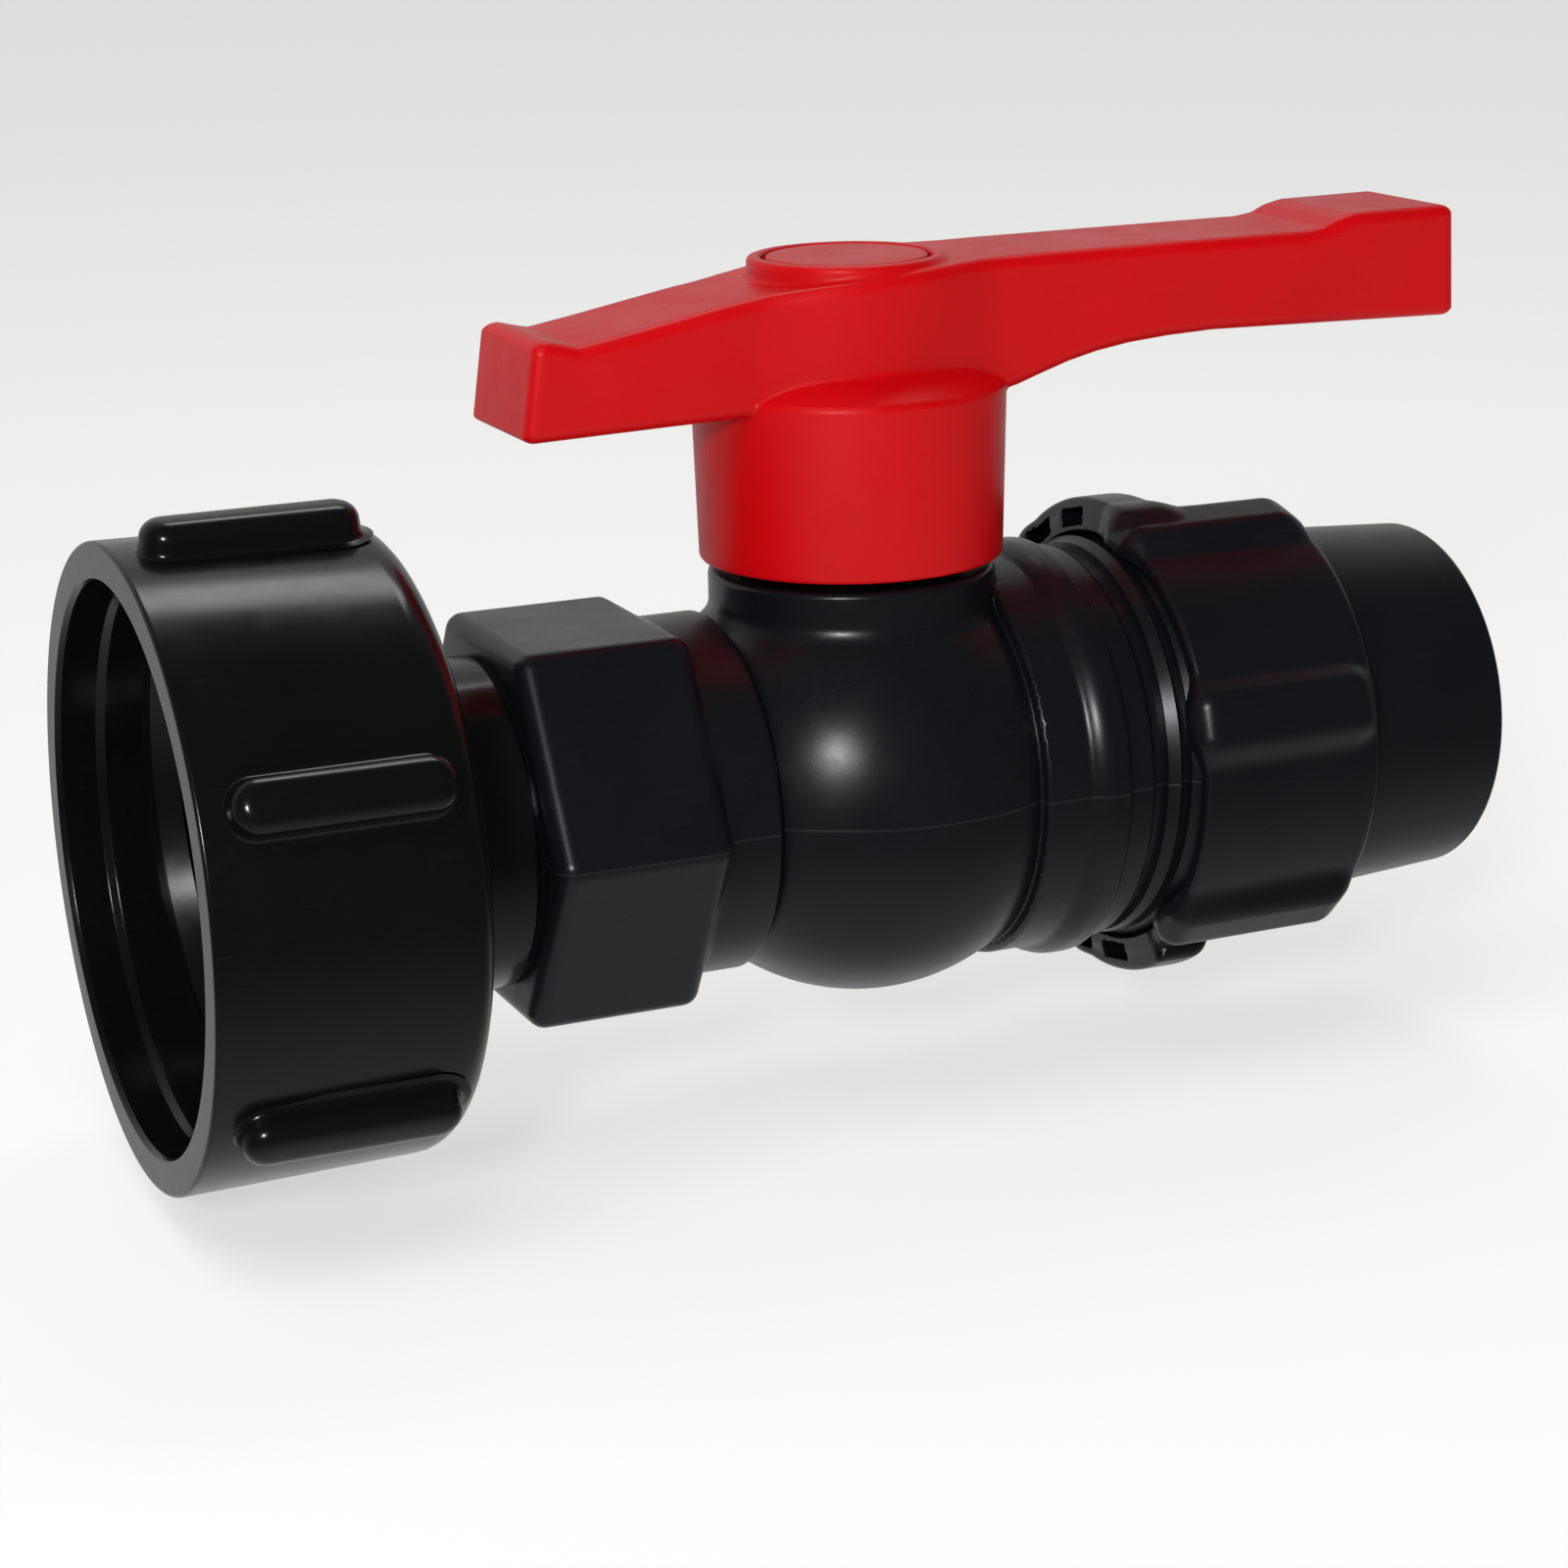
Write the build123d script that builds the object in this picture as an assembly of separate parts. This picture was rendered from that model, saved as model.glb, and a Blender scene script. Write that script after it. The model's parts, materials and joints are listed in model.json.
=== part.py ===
"""Quarter-turn plastic ball valve with a coarse-thread tank adapter and a union tail.

Millimetres. The origin is the centre of the tank adapter's mouth, +X runs along the
flow into the valve, and +Z runs up the stem. At rest the valve is open and the long
arm of the handle points along the flow.
"""
import os

from build123d import *

# ---- driving dimensions ----
bore_radius = 12.5            # waterway through the valve
stem_x = 85.0                 # stem axis, from the adapter's mouth
running_gap = 0.05            # radial room of a turning fit, and of a part dropped in its seat
overshoot = 1.0               # how far a cut runs past the face it opens

# tank adapter
cap_radius = 35.0
cap_length = 30.2
cap_back_round = 4.0
mouth_radius = 30.8
mouth_depth = 4.4             # smooth lead-in ahead of the thread
tank_root_radius = 30.3
tank_crest_radius = 28.0
tank_pitch = 6.0
tank_turns = 3
cup_depth = 26.6
cap_lug_count = 6
cap_lug_phase = 24.0          # degrees above the near side
cap_lug_top = 38.3
cap_lug_width = 6.0
cap_lug_start = 2.8
cap_lug_end = 26.6
cap_lug_edge = 1.6
lug_root = 3.0                # how deep a grip lug starts under the surface it stands on
gasket_thickness = 3.0
gasket_hole_radius = 17.0
neck_radius = 18.4
neck_end = 39.9
nipple_shoulder_radius = 17.5
nipple_radius = 16.5
nipple_end = 57.0

# valve body
hex_corner_radius = 24.2
hex_left = 40.4
hex_right = 60.4
hex_bore_radius = 16.56
hex_bore_end = 58.5
hex_mouth_radius = 17.9
hex_edge_round = 1.2
body_neck_radius = 20.3
body_neck_end = 67.3
shell_radius = 25.2
cavity_radius = 19.0
collar_radius = 24.4
collar_start = 104.4
collar_end = 108.0
ring_radius = 23.2
ring_end = 111.5
union_crest_radius = 23.2
union_root_radius = 22.2
union_pitch = 3.0
union_turns = 5
body_end = 127.2
boss_root = 12.0              # height, inside the shell, where the boss starts
boss_radius = 16.2
boss_top = 24.3
bonnet_radius = 12.4
bonnet_top = 37.5
stop_radius = 14.4
stop_bottom = 26.5
stop_top = 34.0
stop_middles = (45.0, 225.0)  # degrees from +X about the stem
stop_half_angle = 20.0
stop_clearance = 1.0          # degrees left between stop faces at each end of the travel
handle_swing = 90.0

# ball, seats and carrier
ball_radius = 18.5
seat_outer_radius = 16.1
seat_inner_radius = 12.6
seat_back = 16.2              # distance of a seat's back face from the ball's centre
seat_front = 11.0
seat_ring_radius = 14.4       # backing ring behind each seat
seat_ring_section = 0.9
carrier_radius = 18.95
carrier_start = 9.8           # from the ball's centre
carrier_end = 41.6
carrier_groove = (24.0, 27.0) # from the ball's centre
key_slot_depth = 2.0
key_slot_width = 6.0
seal_section = 1.1            # carrier and face ring, section radius

# stem
stem_radius = 7.0
stem_bore_radius = stem_radius + running_gap
stem_flange_radius = 9.4
stem_flange_room = 0.35
stem_flange_bottom = 19.5
stem_flange_top = 21.9
stem_washer_top = 22.9
stem_pocket_top = stem_washer_top + running_gap
stem_square = 9.0
stem_square_bottom = 39.6
stem_top = 50.8
stem_ring_section = 1.2
stem_ring_heights = (27.5, 33.0)
tongue_width = 5.9
tongue_length = 12.0
slot_width = 6.0
tongue_bottom = 15.2
slot_bottom = 15.0

# handle
cup_bottom = 25.4
cup_bottom_radius = 17.1
cup_top = 44.0
cup_top_radius = 17.6
cup_inner_radius = 15.0
cup_ceiling = 40.2
bar_half_width = 9.0
bar_wall = 2.6                # side walls of the core-outs under the arms
short_arm = 40.0
long_arm = 74.0
disc_radius = 11.6
hub_radius = 10.3
disc_top = 59.1
cap_disc_radius = 9.0
cap_recess_radius = 9.5
cap_recess_floor = 56.6
head_recess_radius = 5.2
head_recess_floor = 52.6
screw_radius = 2.0
screw_length = 8.0            # in the stem
screw_head_radius = 4.0
screw_head_height = 2.4
screw_washer_radius = 4.9
screw_washer_thickness = 0.78

# union nut
nut_start = 116.6
nut_end = 140.0
nut_radius = 26.0
nut_end_radius = 25.3
nut_mouth_radius = 24.1
nut_crest_radius = 23.6
nut_root_radius = 24.3
nut_thread_start = 118.2
nut_turns = 4
nut_seat = 131.2
nut_hole_radius = 22.35
nut_lug_count = 6
nut_lug_phase = 16.0
nut_lug_top = 27.6
nut_lug_width = 8.0
nut_lug_start = 115.4
nut_lug_end = 138.2
nut_lug_edge = 1.3
ear_radius = 28.1
ear_length = 8.0
ear_sectors = ((76.0, 136.0), (-104.0, -56.0))
pocket_angles = (104.0, 123.0, -79.5, -98.5)
pocket_radii = (24.9, 26.9)
pocket_width = 5.4
pocket_depth = 4.0

# tail piece
tail_start = 127.25
tail_flange_end = 131.15
tail_flange_radius = 23.1
tail_root_radius = 22.0
tail_end = 159.6
tail_end_radius = 20.7
socket_radius = 16.1
socket_end_radius = 16.2
socket_depth = 22.0
face_groove = (19.6, 21.9)    # inner and outer radius of the face ring's groove


# ---- helpers ----
def outline(corners):
    """Closed face in the X-Z plane from (along, radius) corners, some with a rounding."""
    following = corners[1:] + corners[:1]
    turn = sum(a[0] * b[1] - b[0] * a[1] for a, b in zip(corners, following))
    ordered = corners if turn > 0 else corners[::-1]
    roundings = [corner[2] if len(corner) == 3 else 0 for corner in ordered]
    wire = FilletPolyline(*[corner[:2] for corner in ordered], radius=roundings, close=True)
    return Plane.XZ * make_face(wire)


def turned(corners):
    """Solid of revolution about the flow axis."""
    return revolve(outline(corners), Axis.X)


def turned_up(corners):
    """Solid of revolution about the stem axis, from (radius, height) corners."""
    return Pos(stem_x, 0, 0) * revolve(outline(corners), Axis.Z)


def flow_cylinder(radius, start, end):
    """Cylinder on the flow axis."""
    return turned([(start, 0), (start, radius), (end, radius), (end, 0)])


def stem_cylinder(radius, bottom, top):
    """Cylinder on the stem axis."""
    return Pos(stem_x, 0, (bottom + top) / 2) * Cylinder(radius, top - bottom)


def flow_ring(major, section, along):
    """O-ring round the flow axis."""
    return Pos(along, 0, 0) * Rot(0, 90, 0) * Torus(major, section)


def around_flow(shape, angle):
    """Turn a shape that stands at the near side (-Y) up round the flow axis."""
    return Rot(-angle, 0, 0) * shape


def lug(start, end, width, base_radius, top_radius, end_round, edge_round):
    """Grip lug on the near side, its long edges along the flow."""
    plan = RectangleRounded(end - start, width, end_round)
    block = extrude(plan, top_radius - base_radius)
    block = fillet(block.faces().sort_by(Axis.Z)[-1].edges(), edge_round)
    return Pos((start + end) / 2, -base_radius, 0) * Rot(90, 0, 0) * block


def thread_corners(start, pitch, turns, root, crest):
    """Corners of annular thread ridges, one per turn, from the start along the flow."""
    corners = []
    for turn in range(turns):
        left = start + turn * pitch
        corners += [
            (left, root),
            (left + 0.25 * pitch, crest),
            (left + 0.55 * pitch, crest),
            (left + 0.80 * pitch, root),
        ]
    return corners


# ---- tank adapter ----
def make_tank_adapter():
    """Lugged cap with a coarse female thread, and the nipple that screws into the body."""
    outside = turned([
        (0.0, 0.0),
        (0.0, cap_radius, 0.5),
        (cap_length, cap_radius - 0.5, cap_back_round),
        (cap_length, neck_radius, 0.8),
        (neck_end, neck_radius, 0.3),
        (neck_end, nipple_shoulder_radius),
        (hex_left + 1.6, nipple_shoulder_radius),
        (hex_left + 1.6, nipple_radius),
        (nipple_end, nipple_radius, 0.8),
        (nipple_end, 0.0),
    ])
    for index in range(cap_lug_count):
        block = lug(cap_lug_start, cap_lug_end, cap_lug_width, cap_radius - lug_root,
                    cap_lug_top, cap_lug_width / 2 - 0.05, cap_lug_edge)
        outside += around_flow(block, cap_lug_phase + index * 360 / cap_lug_count)
    inside = turned(
        [
            (-overshoot, 0.0), (-overshoot, mouth_radius + 0.9),
            (0.5, mouth_radius), (mouth_depth, mouth_radius),
        ]
        + thread_corners(mouth_depth + 0.6, tank_pitch, tank_turns, tank_root_radius, tank_crest_radius)
        + [(cup_depth, tank_root_radius, 1.5), (cup_depth, 0.0)]
    )
    return outside - inside - flow_cylinder(bore_radius, cup_depth - overshoot, nipple_end + overshoot)


def make_adapter_gasket():
    """Flat ring on the floor of the cap that the tank outlet presses against."""
    start = cup_depth - gasket_thickness
    return flow_cylinder(tank_crest_radius - 0.4, start, cup_depth) \
        - flow_cylinder(gasket_hole_radius, start - overshoot, cup_depth + overshoot)


# ---- valve body ----
def make_hexagon():
    """Hexagon socket with rounded edges and turned corners at both ends."""
    length = hex_right - hex_left
    prism = Pos(hex_left, 0, 0) * extrude(Plane.YZ * RegularPolygon(hex_corner_radius, 6), length)
    prism = fillet(prism.edges().filter_by(Axis.X), hex_edge_round)
    envelope = turned([
        (hex_left, 0.0),
        (hex_left, hex_corner_radius - 2.4, 1.0),
        (hex_left + 2.0, hex_corner_radius, 1.0),
        (hex_right - 2.4, hex_corner_radius, 1.0),
        (hex_right, hex_corner_radius - 2.8, 1.0),
        (hex_right, 0.0),
    ])
    return prism & envelope


def make_body_outside():
    """Hexagon, neck, ball shell, collar and union thread in one run along the flow."""
    neck = turned([
        (hex_right - 2, 0.0),
        (hex_right - 2, body_neck_radius),
        (body_neck_end, body_neck_radius, 0.7),
        (body_neck_end, 0.0),
    ])
    collar = turned(
        [
            (stem_x + 6.0, 0.0),
            (stem_x + 6.0, 20.0),
            (collar_start - 3.4, 20.2, 0.8),
            (collar_start, collar_radius, 1.6),
            (collar_end, collar_radius, 0.6),
            (collar_end, ring_radius),
            (ring_end, ring_radius, 0.4),
            (ring_end, union_root_radius),
        ]
        + thread_corners(ring_end + 0.5, union_pitch, union_turns, union_root_radius, union_crest_radius)
        + [(body_end, union_root_radius, 0.3), (body_end, 0.0)]
    )
    shell = Pos(stem_x, 0, 0) * Sphere(shell_radius)
    return make_hexagon() + neck + shell + collar


def make_bonnet():
    """Round neck under the handle, and the narrower bonnet that the cup turns on."""
    boss = turned_up([
        (0.0, boss_root), (boss_radius, boss_root), (boss_radius, boss_top, 0.8), (0.0, boss_top)
    ])
    bonnet = turned_up([
        (0.0, boss_root), (bonnet_radius, boss_root), (bonnet_radius, bonnet_top, 0.6), (0.0, bonnet_top)
    ])
    return boss + bonnet


def stop_sector(inner, outer, first, last):
    """Block that fills an angle round the stem axis, degrees counted from +X."""
    section = Rectangle(outer - inner, stop_top - stop_bottom)
    face = Plane.XZ * (Pos((inner + outer) / 2, (stop_bottom + stop_top) / 2) * section)
    return Pos(stem_x, 0, 0) * Rot(0, 0, first) * revolve(face, Axis.Z, revolution_arc=last - first)


def make_body_cavity():
    """Everything cut out of the body: socket, waterway, seat pocket, ball chamber, stem bore."""
    socket = turned([
        (hex_left - overshoot, 0.0),
        (hex_left - overshoot, hex_mouth_radius + 0.6),
        (hex_left + 0.4, hex_mouth_radius),
        (hex_left + 2.2, hex_mouth_radius),
        (hex_left + 2.2, hex_bore_radius),
        (hex_bore_end, hex_bore_radius),
        (hex_bore_end, 0.0),
    ])
    waterway = flow_cylinder(bore_radius, hex_bore_end - overshoot, stem_x)
    seat_pocket = flow_cylinder(seat_outer_radius + running_gap, stem_x - seat_back - running_gap, stem_x)
    chamber = Pos(stem_x, 0, 0) * Sphere(cavity_radius)
    barrel = flow_cylinder(cavity_radius, stem_x, body_end + overshoot)
    stem_bore = stem_cylinder(stem_bore_radius, boss_root, bonnet_top + overshoot)
    flange_pocket = stem_cylinder(stem_flange_radius + stem_flange_room, boss_root, stem_pocket_top)
    return socket + waterway + seat_pocket + chamber + barrel + stem_bore + flange_pocket


def make_valve_body():
    """Body moulding with the two stops that end the handle's quarter turn."""
    solid = make_body_outside() + make_bonnet() - make_body_cavity()
    for middle in stop_middles:
        solid += stop_sector(bonnet_radius - 0.5, stop_radius,
                             middle - stop_half_angle, middle + stop_half_angle)
    return solid


# ---- ball, seats and carrier ----
def make_ball():
    """Ball with its port and the slot that the stem's tongue turns it by."""
    solid = Pos(stem_x, 0, 0) * Sphere(ball_radius)
    solid -= flow_cylinder(bore_radius, stem_x - 2 * ball_radius, stem_x + 2 * ball_radius)
    slot = Pos(stem_x, 0, slot_bottom + ball_radius / 2) * Box(slot_width, 2 * ball_radius, ball_radius)
    return solid - slot


def facing(side):
    """Places an inlet-side piece, made at the ball's centre, on its own side of the ball."""
    return Pos(stem_x, 0, 0) * Rot(0, 0, 0 if side < 0 else 180)


def seat(side):
    """Seat ring on the inlet (-1) or outlet (+1) side, hollowed to the ball."""
    ring = turned([
        (-seat_back, seat_inner_radius),
        (-seat_back, seat_outer_radius),
        (-seat_front, seat_outer_radius),
        (-seat_front, seat_inner_radius),
    ])
    groove = flow_ring(seat_ring_radius, seat_ring_section + 0.02, -seat_back)
    return facing(side) * (ring - Sphere(ball_radius + 0.03) - groove)


def seat_backing(side):
    """Backing ring pressed into the groove on a seat's back face."""
    ring = flow_ring(seat_ring_radius, seat_ring_section, -seat_back)
    return facing(side) * (ring & flow_cylinder(carrier_radius, -seat_back, -seat_front))


def make_seat_carrier():
    """Ring that screws into the body behind the ball and holds the outlet seat."""
    left = stem_x + carrier_start
    right = stem_x + carrier_end
    solid = flow_cylinder(carrier_radius, left, right)
    solid -= flow_cylinder(seat_outer_radius + running_gap, left - overshoot,
                           stem_x + seat_back + running_gap)
    solid -= flow_cylinder(bore_radius, left, right + overshoot)
    start, end = [stem_x + offset for offset in carrier_groove]
    floor = carrier_radius - 2 * seal_section
    groove = turned([
        (start, floor), (start, carrier_radius + overshoot),
        (end, carrier_radius + overshoot), (end, floor),
    ])
    key_slot = Pos(right, 0, 0) * Box(2 * key_slot_depth, key_slot_width, 3 * carrier_radius)
    return solid - groove - key_slot


def make_carrier_ring():
    """O-ring round the seat carrier, against the barrel."""
    along = stem_x + sum(carrier_groove) / 2
    return flow_ring(carrier_radius - seal_section, seal_section - 0.01, along)


# ---- stem ----
def make_stem():
    """Stem with its tongue, retaining flange, ring grooves and square."""
    shaft = turned_up([
        (0.0, stem_flange_bottom),
        (stem_flange_radius, stem_flange_bottom, 0.3),
        (stem_flange_radius, stem_flange_top),
        (stem_radius, stem_flange_top),
        (stem_radius, stem_square_bottom, 0.5),
        (0.0, stem_square_bottom),
    ])
    square_height = stem_top - stem_square_bottom + overshoot
    square = Pos(stem_x, 0, stem_top - square_height / 2) * Box(stem_square, stem_square, square_height)
    square = chamfer(square.edges().filter_by(Axis.Z), 0.8)
    tongue = Pos(stem_x, 0, (tongue_bottom + stem_flange_bottom) / 2) * Box(
        tongue_width, tongue_length, stem_flange_bottom - tongue_bottom + 0.2)
    solid = shaft + square + tongue
    for height in stem_ring_heights:
        solid -= stem_ring_groove(height)
    return solid - stem_cylinder(screw_radius - 0.02, stem_top - screw_length - 1, stem_top + overshoot)


def stem_ring_groove(height):
    """Cut for one stem O-ring."""
    half = stem_ring_section + 0.1
    inner = stem_radius - 2 * stem_ring_section
    return turned_up([
        (inner, height - half), (stem_radius + overshoot, height - half),
        (stem_radius + overshoot, height + half), (inner, height + half),
    ])


def make_stem_ring(height):
    """Stem O-ring in its groove."""
    return Pos(stem_x, 0, height) * Torus(stem_radius - stem_ring_section, stem_ring_section - 0.01)


def make_stem_washer():
    """Low-friction washer over the stem's flange."""
    return stem_cylinder(stem_flange_radius, stem_flange_top, stem_washer_top) \
        - stem_cylinder(stem_radius + 0.15, stem_flange_top - overshoot, stem_washer_top + overshoot)


# ---- handle ----
def make_bar_profile():
    """Side view of the handle's bar: short arm to the left, long arm to the right."""
    outline_wire = Polyline(
        (-short_arm - 1.2, 42.9), (-short_arm, 53.5), (-short_arm + 2.8, 53.5), (-short_arm + 5.5, 52.8),
        (-22.0, 54.7), (-10.0, 56.8), (-2.0, 57.8), (12.0, 58.4), (26.0, 58.8), (54.5, 59.0),
        (57.5, 60.3), (long_arm, 60.3), (long_arm + 0.4, 47.5), (36.0, 48.0), (30.0, 47.5),
        (24.0, 46.4), (18.5, 44.4), (15.0, 43.4), close=True)
    return Plane.XZ * make_face(outline_wire)


def make_handle_bar():
    """Bar with rounded end corners."""
    bar = extrude(make_bar_profile(), bar_half_width, both=True)
    ends = [edge for edge in bar.edges()
            if abs(edge.center().X) > 38 and abs(edge.tangent_at(0.5).Z) > 0.9]
    return Pos(stem_x, 0, 0) * fillet(ends, 1.4)


def arm_pocket(start, end, roof):
    """Core-out under an arm, open below."""
    width = 2 * (bar_half_width - bar_wall)
    block = Pos(stem_x + (start + end) / 2, 0, roof / 2) * Box(end - start, width, roof)
    return fillet(block.edges().filter_by(Axis.Z), 1.0)


def make_handle():
    """Cup over the bonnet, two arms, top disc with its recess, and the stem socket."""
    cup = turned_up([
        (0.0, cup_bottom),
        (cup_bottom_radius, cup_bottom, 0.5),
        (cup_top_radius, cup_top, 2.2),
        (9.0, 47.6),
        (0.0, 47.6),
    ])
    disc = turned_up([(0.0, 53.0), (disc_radius, 53.0), (disc_radius, disc_top, 0.6), (0.0, disc_top)])
    hub = stem_cylinder(hub_radius, cup_ceiling + 2, 56.0)
    solid = cup + make_handle_bar() + hub + disc
    solid -= arm_pocket(-short_arm + 3.0, -19.5, 50.0)
    solid -= arm_pocket(27.0, 47.5, 55.8)
    solid -= arm_pocket(49.5, long_arm - 3.0, 55.8)
    solid -= turned_up([
        (0.0, cup_bottom - overshoot), (cup_inner_radius, cup_bottom - overshoot),
        (cup_inner_radius, cup_ceiling, 0.8), (0.0, cup_ceiling),
    ])
    solid -= stem_cylinder(cap_recess_radius, cap_recess_floor, disc_top + overshoot)
    solid -= stem_cylinder(head_recess_radius, head_recess_floor, cap_recess_floor + overshoot)
    socket = Pos(stem_x, 0, (cup_ceiling + stem_top) / 2) * Box(
        stem_square + 0.1, stem_square + 0.1, stem_top - cup_ceiling + 0.2)
    solid -= chamfer(socket.edges().filter_by(Axis.Z), 0.7)
    solid -= stem_cylinder(screw_radius + 0.3, stem_top - overshoot, head_recess_floor + overshoot)
    for middle in stop_middles:
        last = middle - stop_half_angle - stop_clearance
        first = middle - 180 + handle_swing + stop_half_angle + stop_clearance
        solid += stop_sector(bonnet_radius + 0.4, cup_inner_radius + 0.4, first, last)
    return solid


def make_handle_screw():
    """Pan-head screw into the stem, with a cross recess."""
    head_bottom = head_recess_floor + 0.8
    head_top = head_bottom + screw_head_height
    head = turned_up([
        (0.0, head_bottom), (screw_head_radius, head_bottom),
        (screw_head_radius, head_top, 1.0), (0.0, head_top),
    ])
    solid = head + stem_cylinder(screw_radius - 0.05, stem_top - screw_length, head_bottom + 0.5)
    for turn in (0, 90):
        solid -= Pos(stem_x, 0, head_top) * Rot(0, 0, turn) * Box(4.4, 0.9, 2.6)
    return solid


def make_screw_washer():
    """Washer under the screw head."""
    top = head_recess_floor + screw_washer_thickness
    return stem_cylinder(screw_washer_radius, head_recess_floor, top) \
        - stem_cylinder(screw_radius + 0.1, head_recess_floor - overshoot, top + overshoot)


def make_handle_cap():
    """Plain snap-in cap over the screw, with a groove left round its edge."""
    step = cap_recess_floor + 1.4
    return turned_up([
        (0.0, cap_recess_floor), (cap_recess_radius, cap_recess_floor), (cap_recess_radius, step),
        (cap_disc_radius, step), (cap_disc_radius, disc_top, 0.3), (0.0, disc_top),
    ])


# ---- union ----
def make_nut_ear(first, last):
    """Thick part-round ear between two lugs at the nut's mouth."""
    face = outline([
        (nut_start, nut_mouth_radius), (nut_start, ear_radius, 0.6),
        (nut_start + ear_length * 0.45, ear_radius, 2.5), (nut_start + ear_length, nut_radius - 0.6),
        (nut_start + ear_length, nut_mouth_radius),
    ])
    ear = revolve(face, Axis.X, revolution_arc=last - first)
    return Rot(90 - last, 0, 0) * ear


def make_union_nut():
    """Lugged nut that draws the tail piece against the body."""
    outside = turned([
        (nut_start, 0.0),
        (nut_start, nut_radius - 0.2, 0.7),
        (nut_start + 6, nut_radius),
        (nut_end, nut_end_radius, 1.6),
        (nut_end, 0.0),
    ])
    for index in range(nut_lug_count):
        block = lug(nut_lug_start, nut_lug_end, nut_lug_width, nut_radius - lug_root,
                    nut_lug_top, 2.4, nut_lug_edge)
        outside += around_flow(block, nut_lug_phase + index * 360 / nut_lug_count)
    for first, last in ear_sectors:
        outside += make_nut_ear(first, last)
    inside = turned(
        [
            (nut_lug_start - overshoot, 0.0), (nut_lug_start - overshoot, nut_mouth_radius),
            (nut_thread_start - 0.6, nut_mouth_radius),
        ]
        + thread_corners(nut_thread_start, union_pitch, nut_turns, nut_root_radius, nut_crest_radius)
        + [
            (nut_seat, nut_crest_radius), (nut_seat, nut_hole_radius),
            (nut_end + overshoot, nut_hole_radius), (nut_end + overshoot, 0.0),
        ]
    )
    solid = outside - inside
    for angle in pocket_angles:
        height = pocket_radii[1] - pocket_radii[0]
        pocket = Pos(nut_start, -sum(pocket_radii) / 2, 0) * Box(2 * pocket_depth, height, pocket_width)
        solid -= around_flow(pocket, angle)
    return solid


def make_tail_piece():
    """Plain-socket tail with a flange that the nut pulls on and a groove for the face ring."""
    outside = turned([
        (tail_start, 0.0), (tail_start, tail_flange_radius, 0.3),
        (tail_flange_end, tail_flange_radius, 0.3), (tail_flange_end, tail_root_radius),
        (nut_end, tail_root_radius - 0.1), (tail_end, tail_end_radius, 0.8), (tail_end, 0.0),
    ])
    socket_start = tail_end - socket_depth
    inside = turned([
        (tail_start - overshoot, 0.0), (tail_start - overshoot, bore_radius), (socket_start, bore_radius),
        (socket_start, socket_radius), (tail_end - 1.2, socket_radius),
        (tail_end + overshoot, socket_radius + 1.6), (tail_end + overshoot, 0.0),
    ])
    inner, outer = face_groove
    floor = tail_start + 2 * seal_section
    groove = turned([
        (tail_start - overshoot, inner), (tail_start - overshoot, outer), (floor, outer), (floor, inner),
    ])
    return outside - inside - groove


def make_face_ring():
    """O-ring in the tail's face, against the end of the body."""
    return flow_ring(sum(face_groove) / 2, seal_section - 0.01, tail_start + seal_section)


def make_nodes():
    """Every separate piece of the valve, by node name."""
    return {
        "tank_adapter": make_tank_adapter(),
        "adapter_gasket": make_adapter_gasket(),
        "valve_body": make_valve_body(),
        "ball": make_ball(),
        "inlet_seat": seat(-1),
        "inlet_seat_ring": seat_backing(-1),
        "outlet_seat": seat(1),
        "outlet_seat_ring": seat_backing(1),
        "seat_carrier": make_seat_carrier(),
        "carrier_ring": make_carrier_ring(),
        "stem": make_stem(),
        "stem_ring_lower": make_stem_ring(stem_ring_heights[0]),
        "stem_ring_upper": make_stem_ring(stem_ring_heights[1]),
        "stem_washer": make_stem_washer(),
        "handle": make_handle(),
        "handle_screw": make_handle_screw(),
        "screw_washer": make_screw_washer(),
        "handle_cap": make_handle_cap(),
        "union_nut": make_union_nut(),
        "tail_piece": make_tail_piece(),
        "face_ring": make_face_ring(),
    }


os.makedirs("parts", exist_ok=True)
for node, shape in make_nodes().items():
    export_step(shape.solid(), f"parts/{node}.step")
    print(node, round(shape.volume / 1000, 2), "cm3")
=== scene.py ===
import json
import math

import bmesh
import bpy
import numpy as np
from mathutils import Matrix, Vector


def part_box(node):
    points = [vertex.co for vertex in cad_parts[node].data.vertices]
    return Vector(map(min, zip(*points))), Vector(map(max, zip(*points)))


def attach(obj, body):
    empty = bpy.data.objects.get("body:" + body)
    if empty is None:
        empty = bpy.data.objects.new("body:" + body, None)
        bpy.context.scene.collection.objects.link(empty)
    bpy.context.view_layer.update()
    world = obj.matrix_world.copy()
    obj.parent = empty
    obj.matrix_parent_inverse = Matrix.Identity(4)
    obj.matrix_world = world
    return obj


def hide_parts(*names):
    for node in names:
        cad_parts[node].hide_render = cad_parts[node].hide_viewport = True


# Lengths are millimetres until a mesh is made. X runs along the flow, Z up the stem.
# Angles round the flow axis start at the near side and grow upwards.
mm = 0.001

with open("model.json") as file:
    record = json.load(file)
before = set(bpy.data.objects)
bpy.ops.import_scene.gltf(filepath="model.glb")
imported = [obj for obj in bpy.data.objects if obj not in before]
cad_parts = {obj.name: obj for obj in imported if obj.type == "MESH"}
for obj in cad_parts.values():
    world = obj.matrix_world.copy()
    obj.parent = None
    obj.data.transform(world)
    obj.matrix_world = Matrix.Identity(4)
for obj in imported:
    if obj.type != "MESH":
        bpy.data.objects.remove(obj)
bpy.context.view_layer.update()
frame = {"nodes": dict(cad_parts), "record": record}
stemLow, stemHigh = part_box("stem")
stemX = (stemLow.x + stemHigh.x) / 2 / mm
print("frame: CAD pieces loaded, stem at", round(stemX, 2), "mm")


# Materials.

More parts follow.
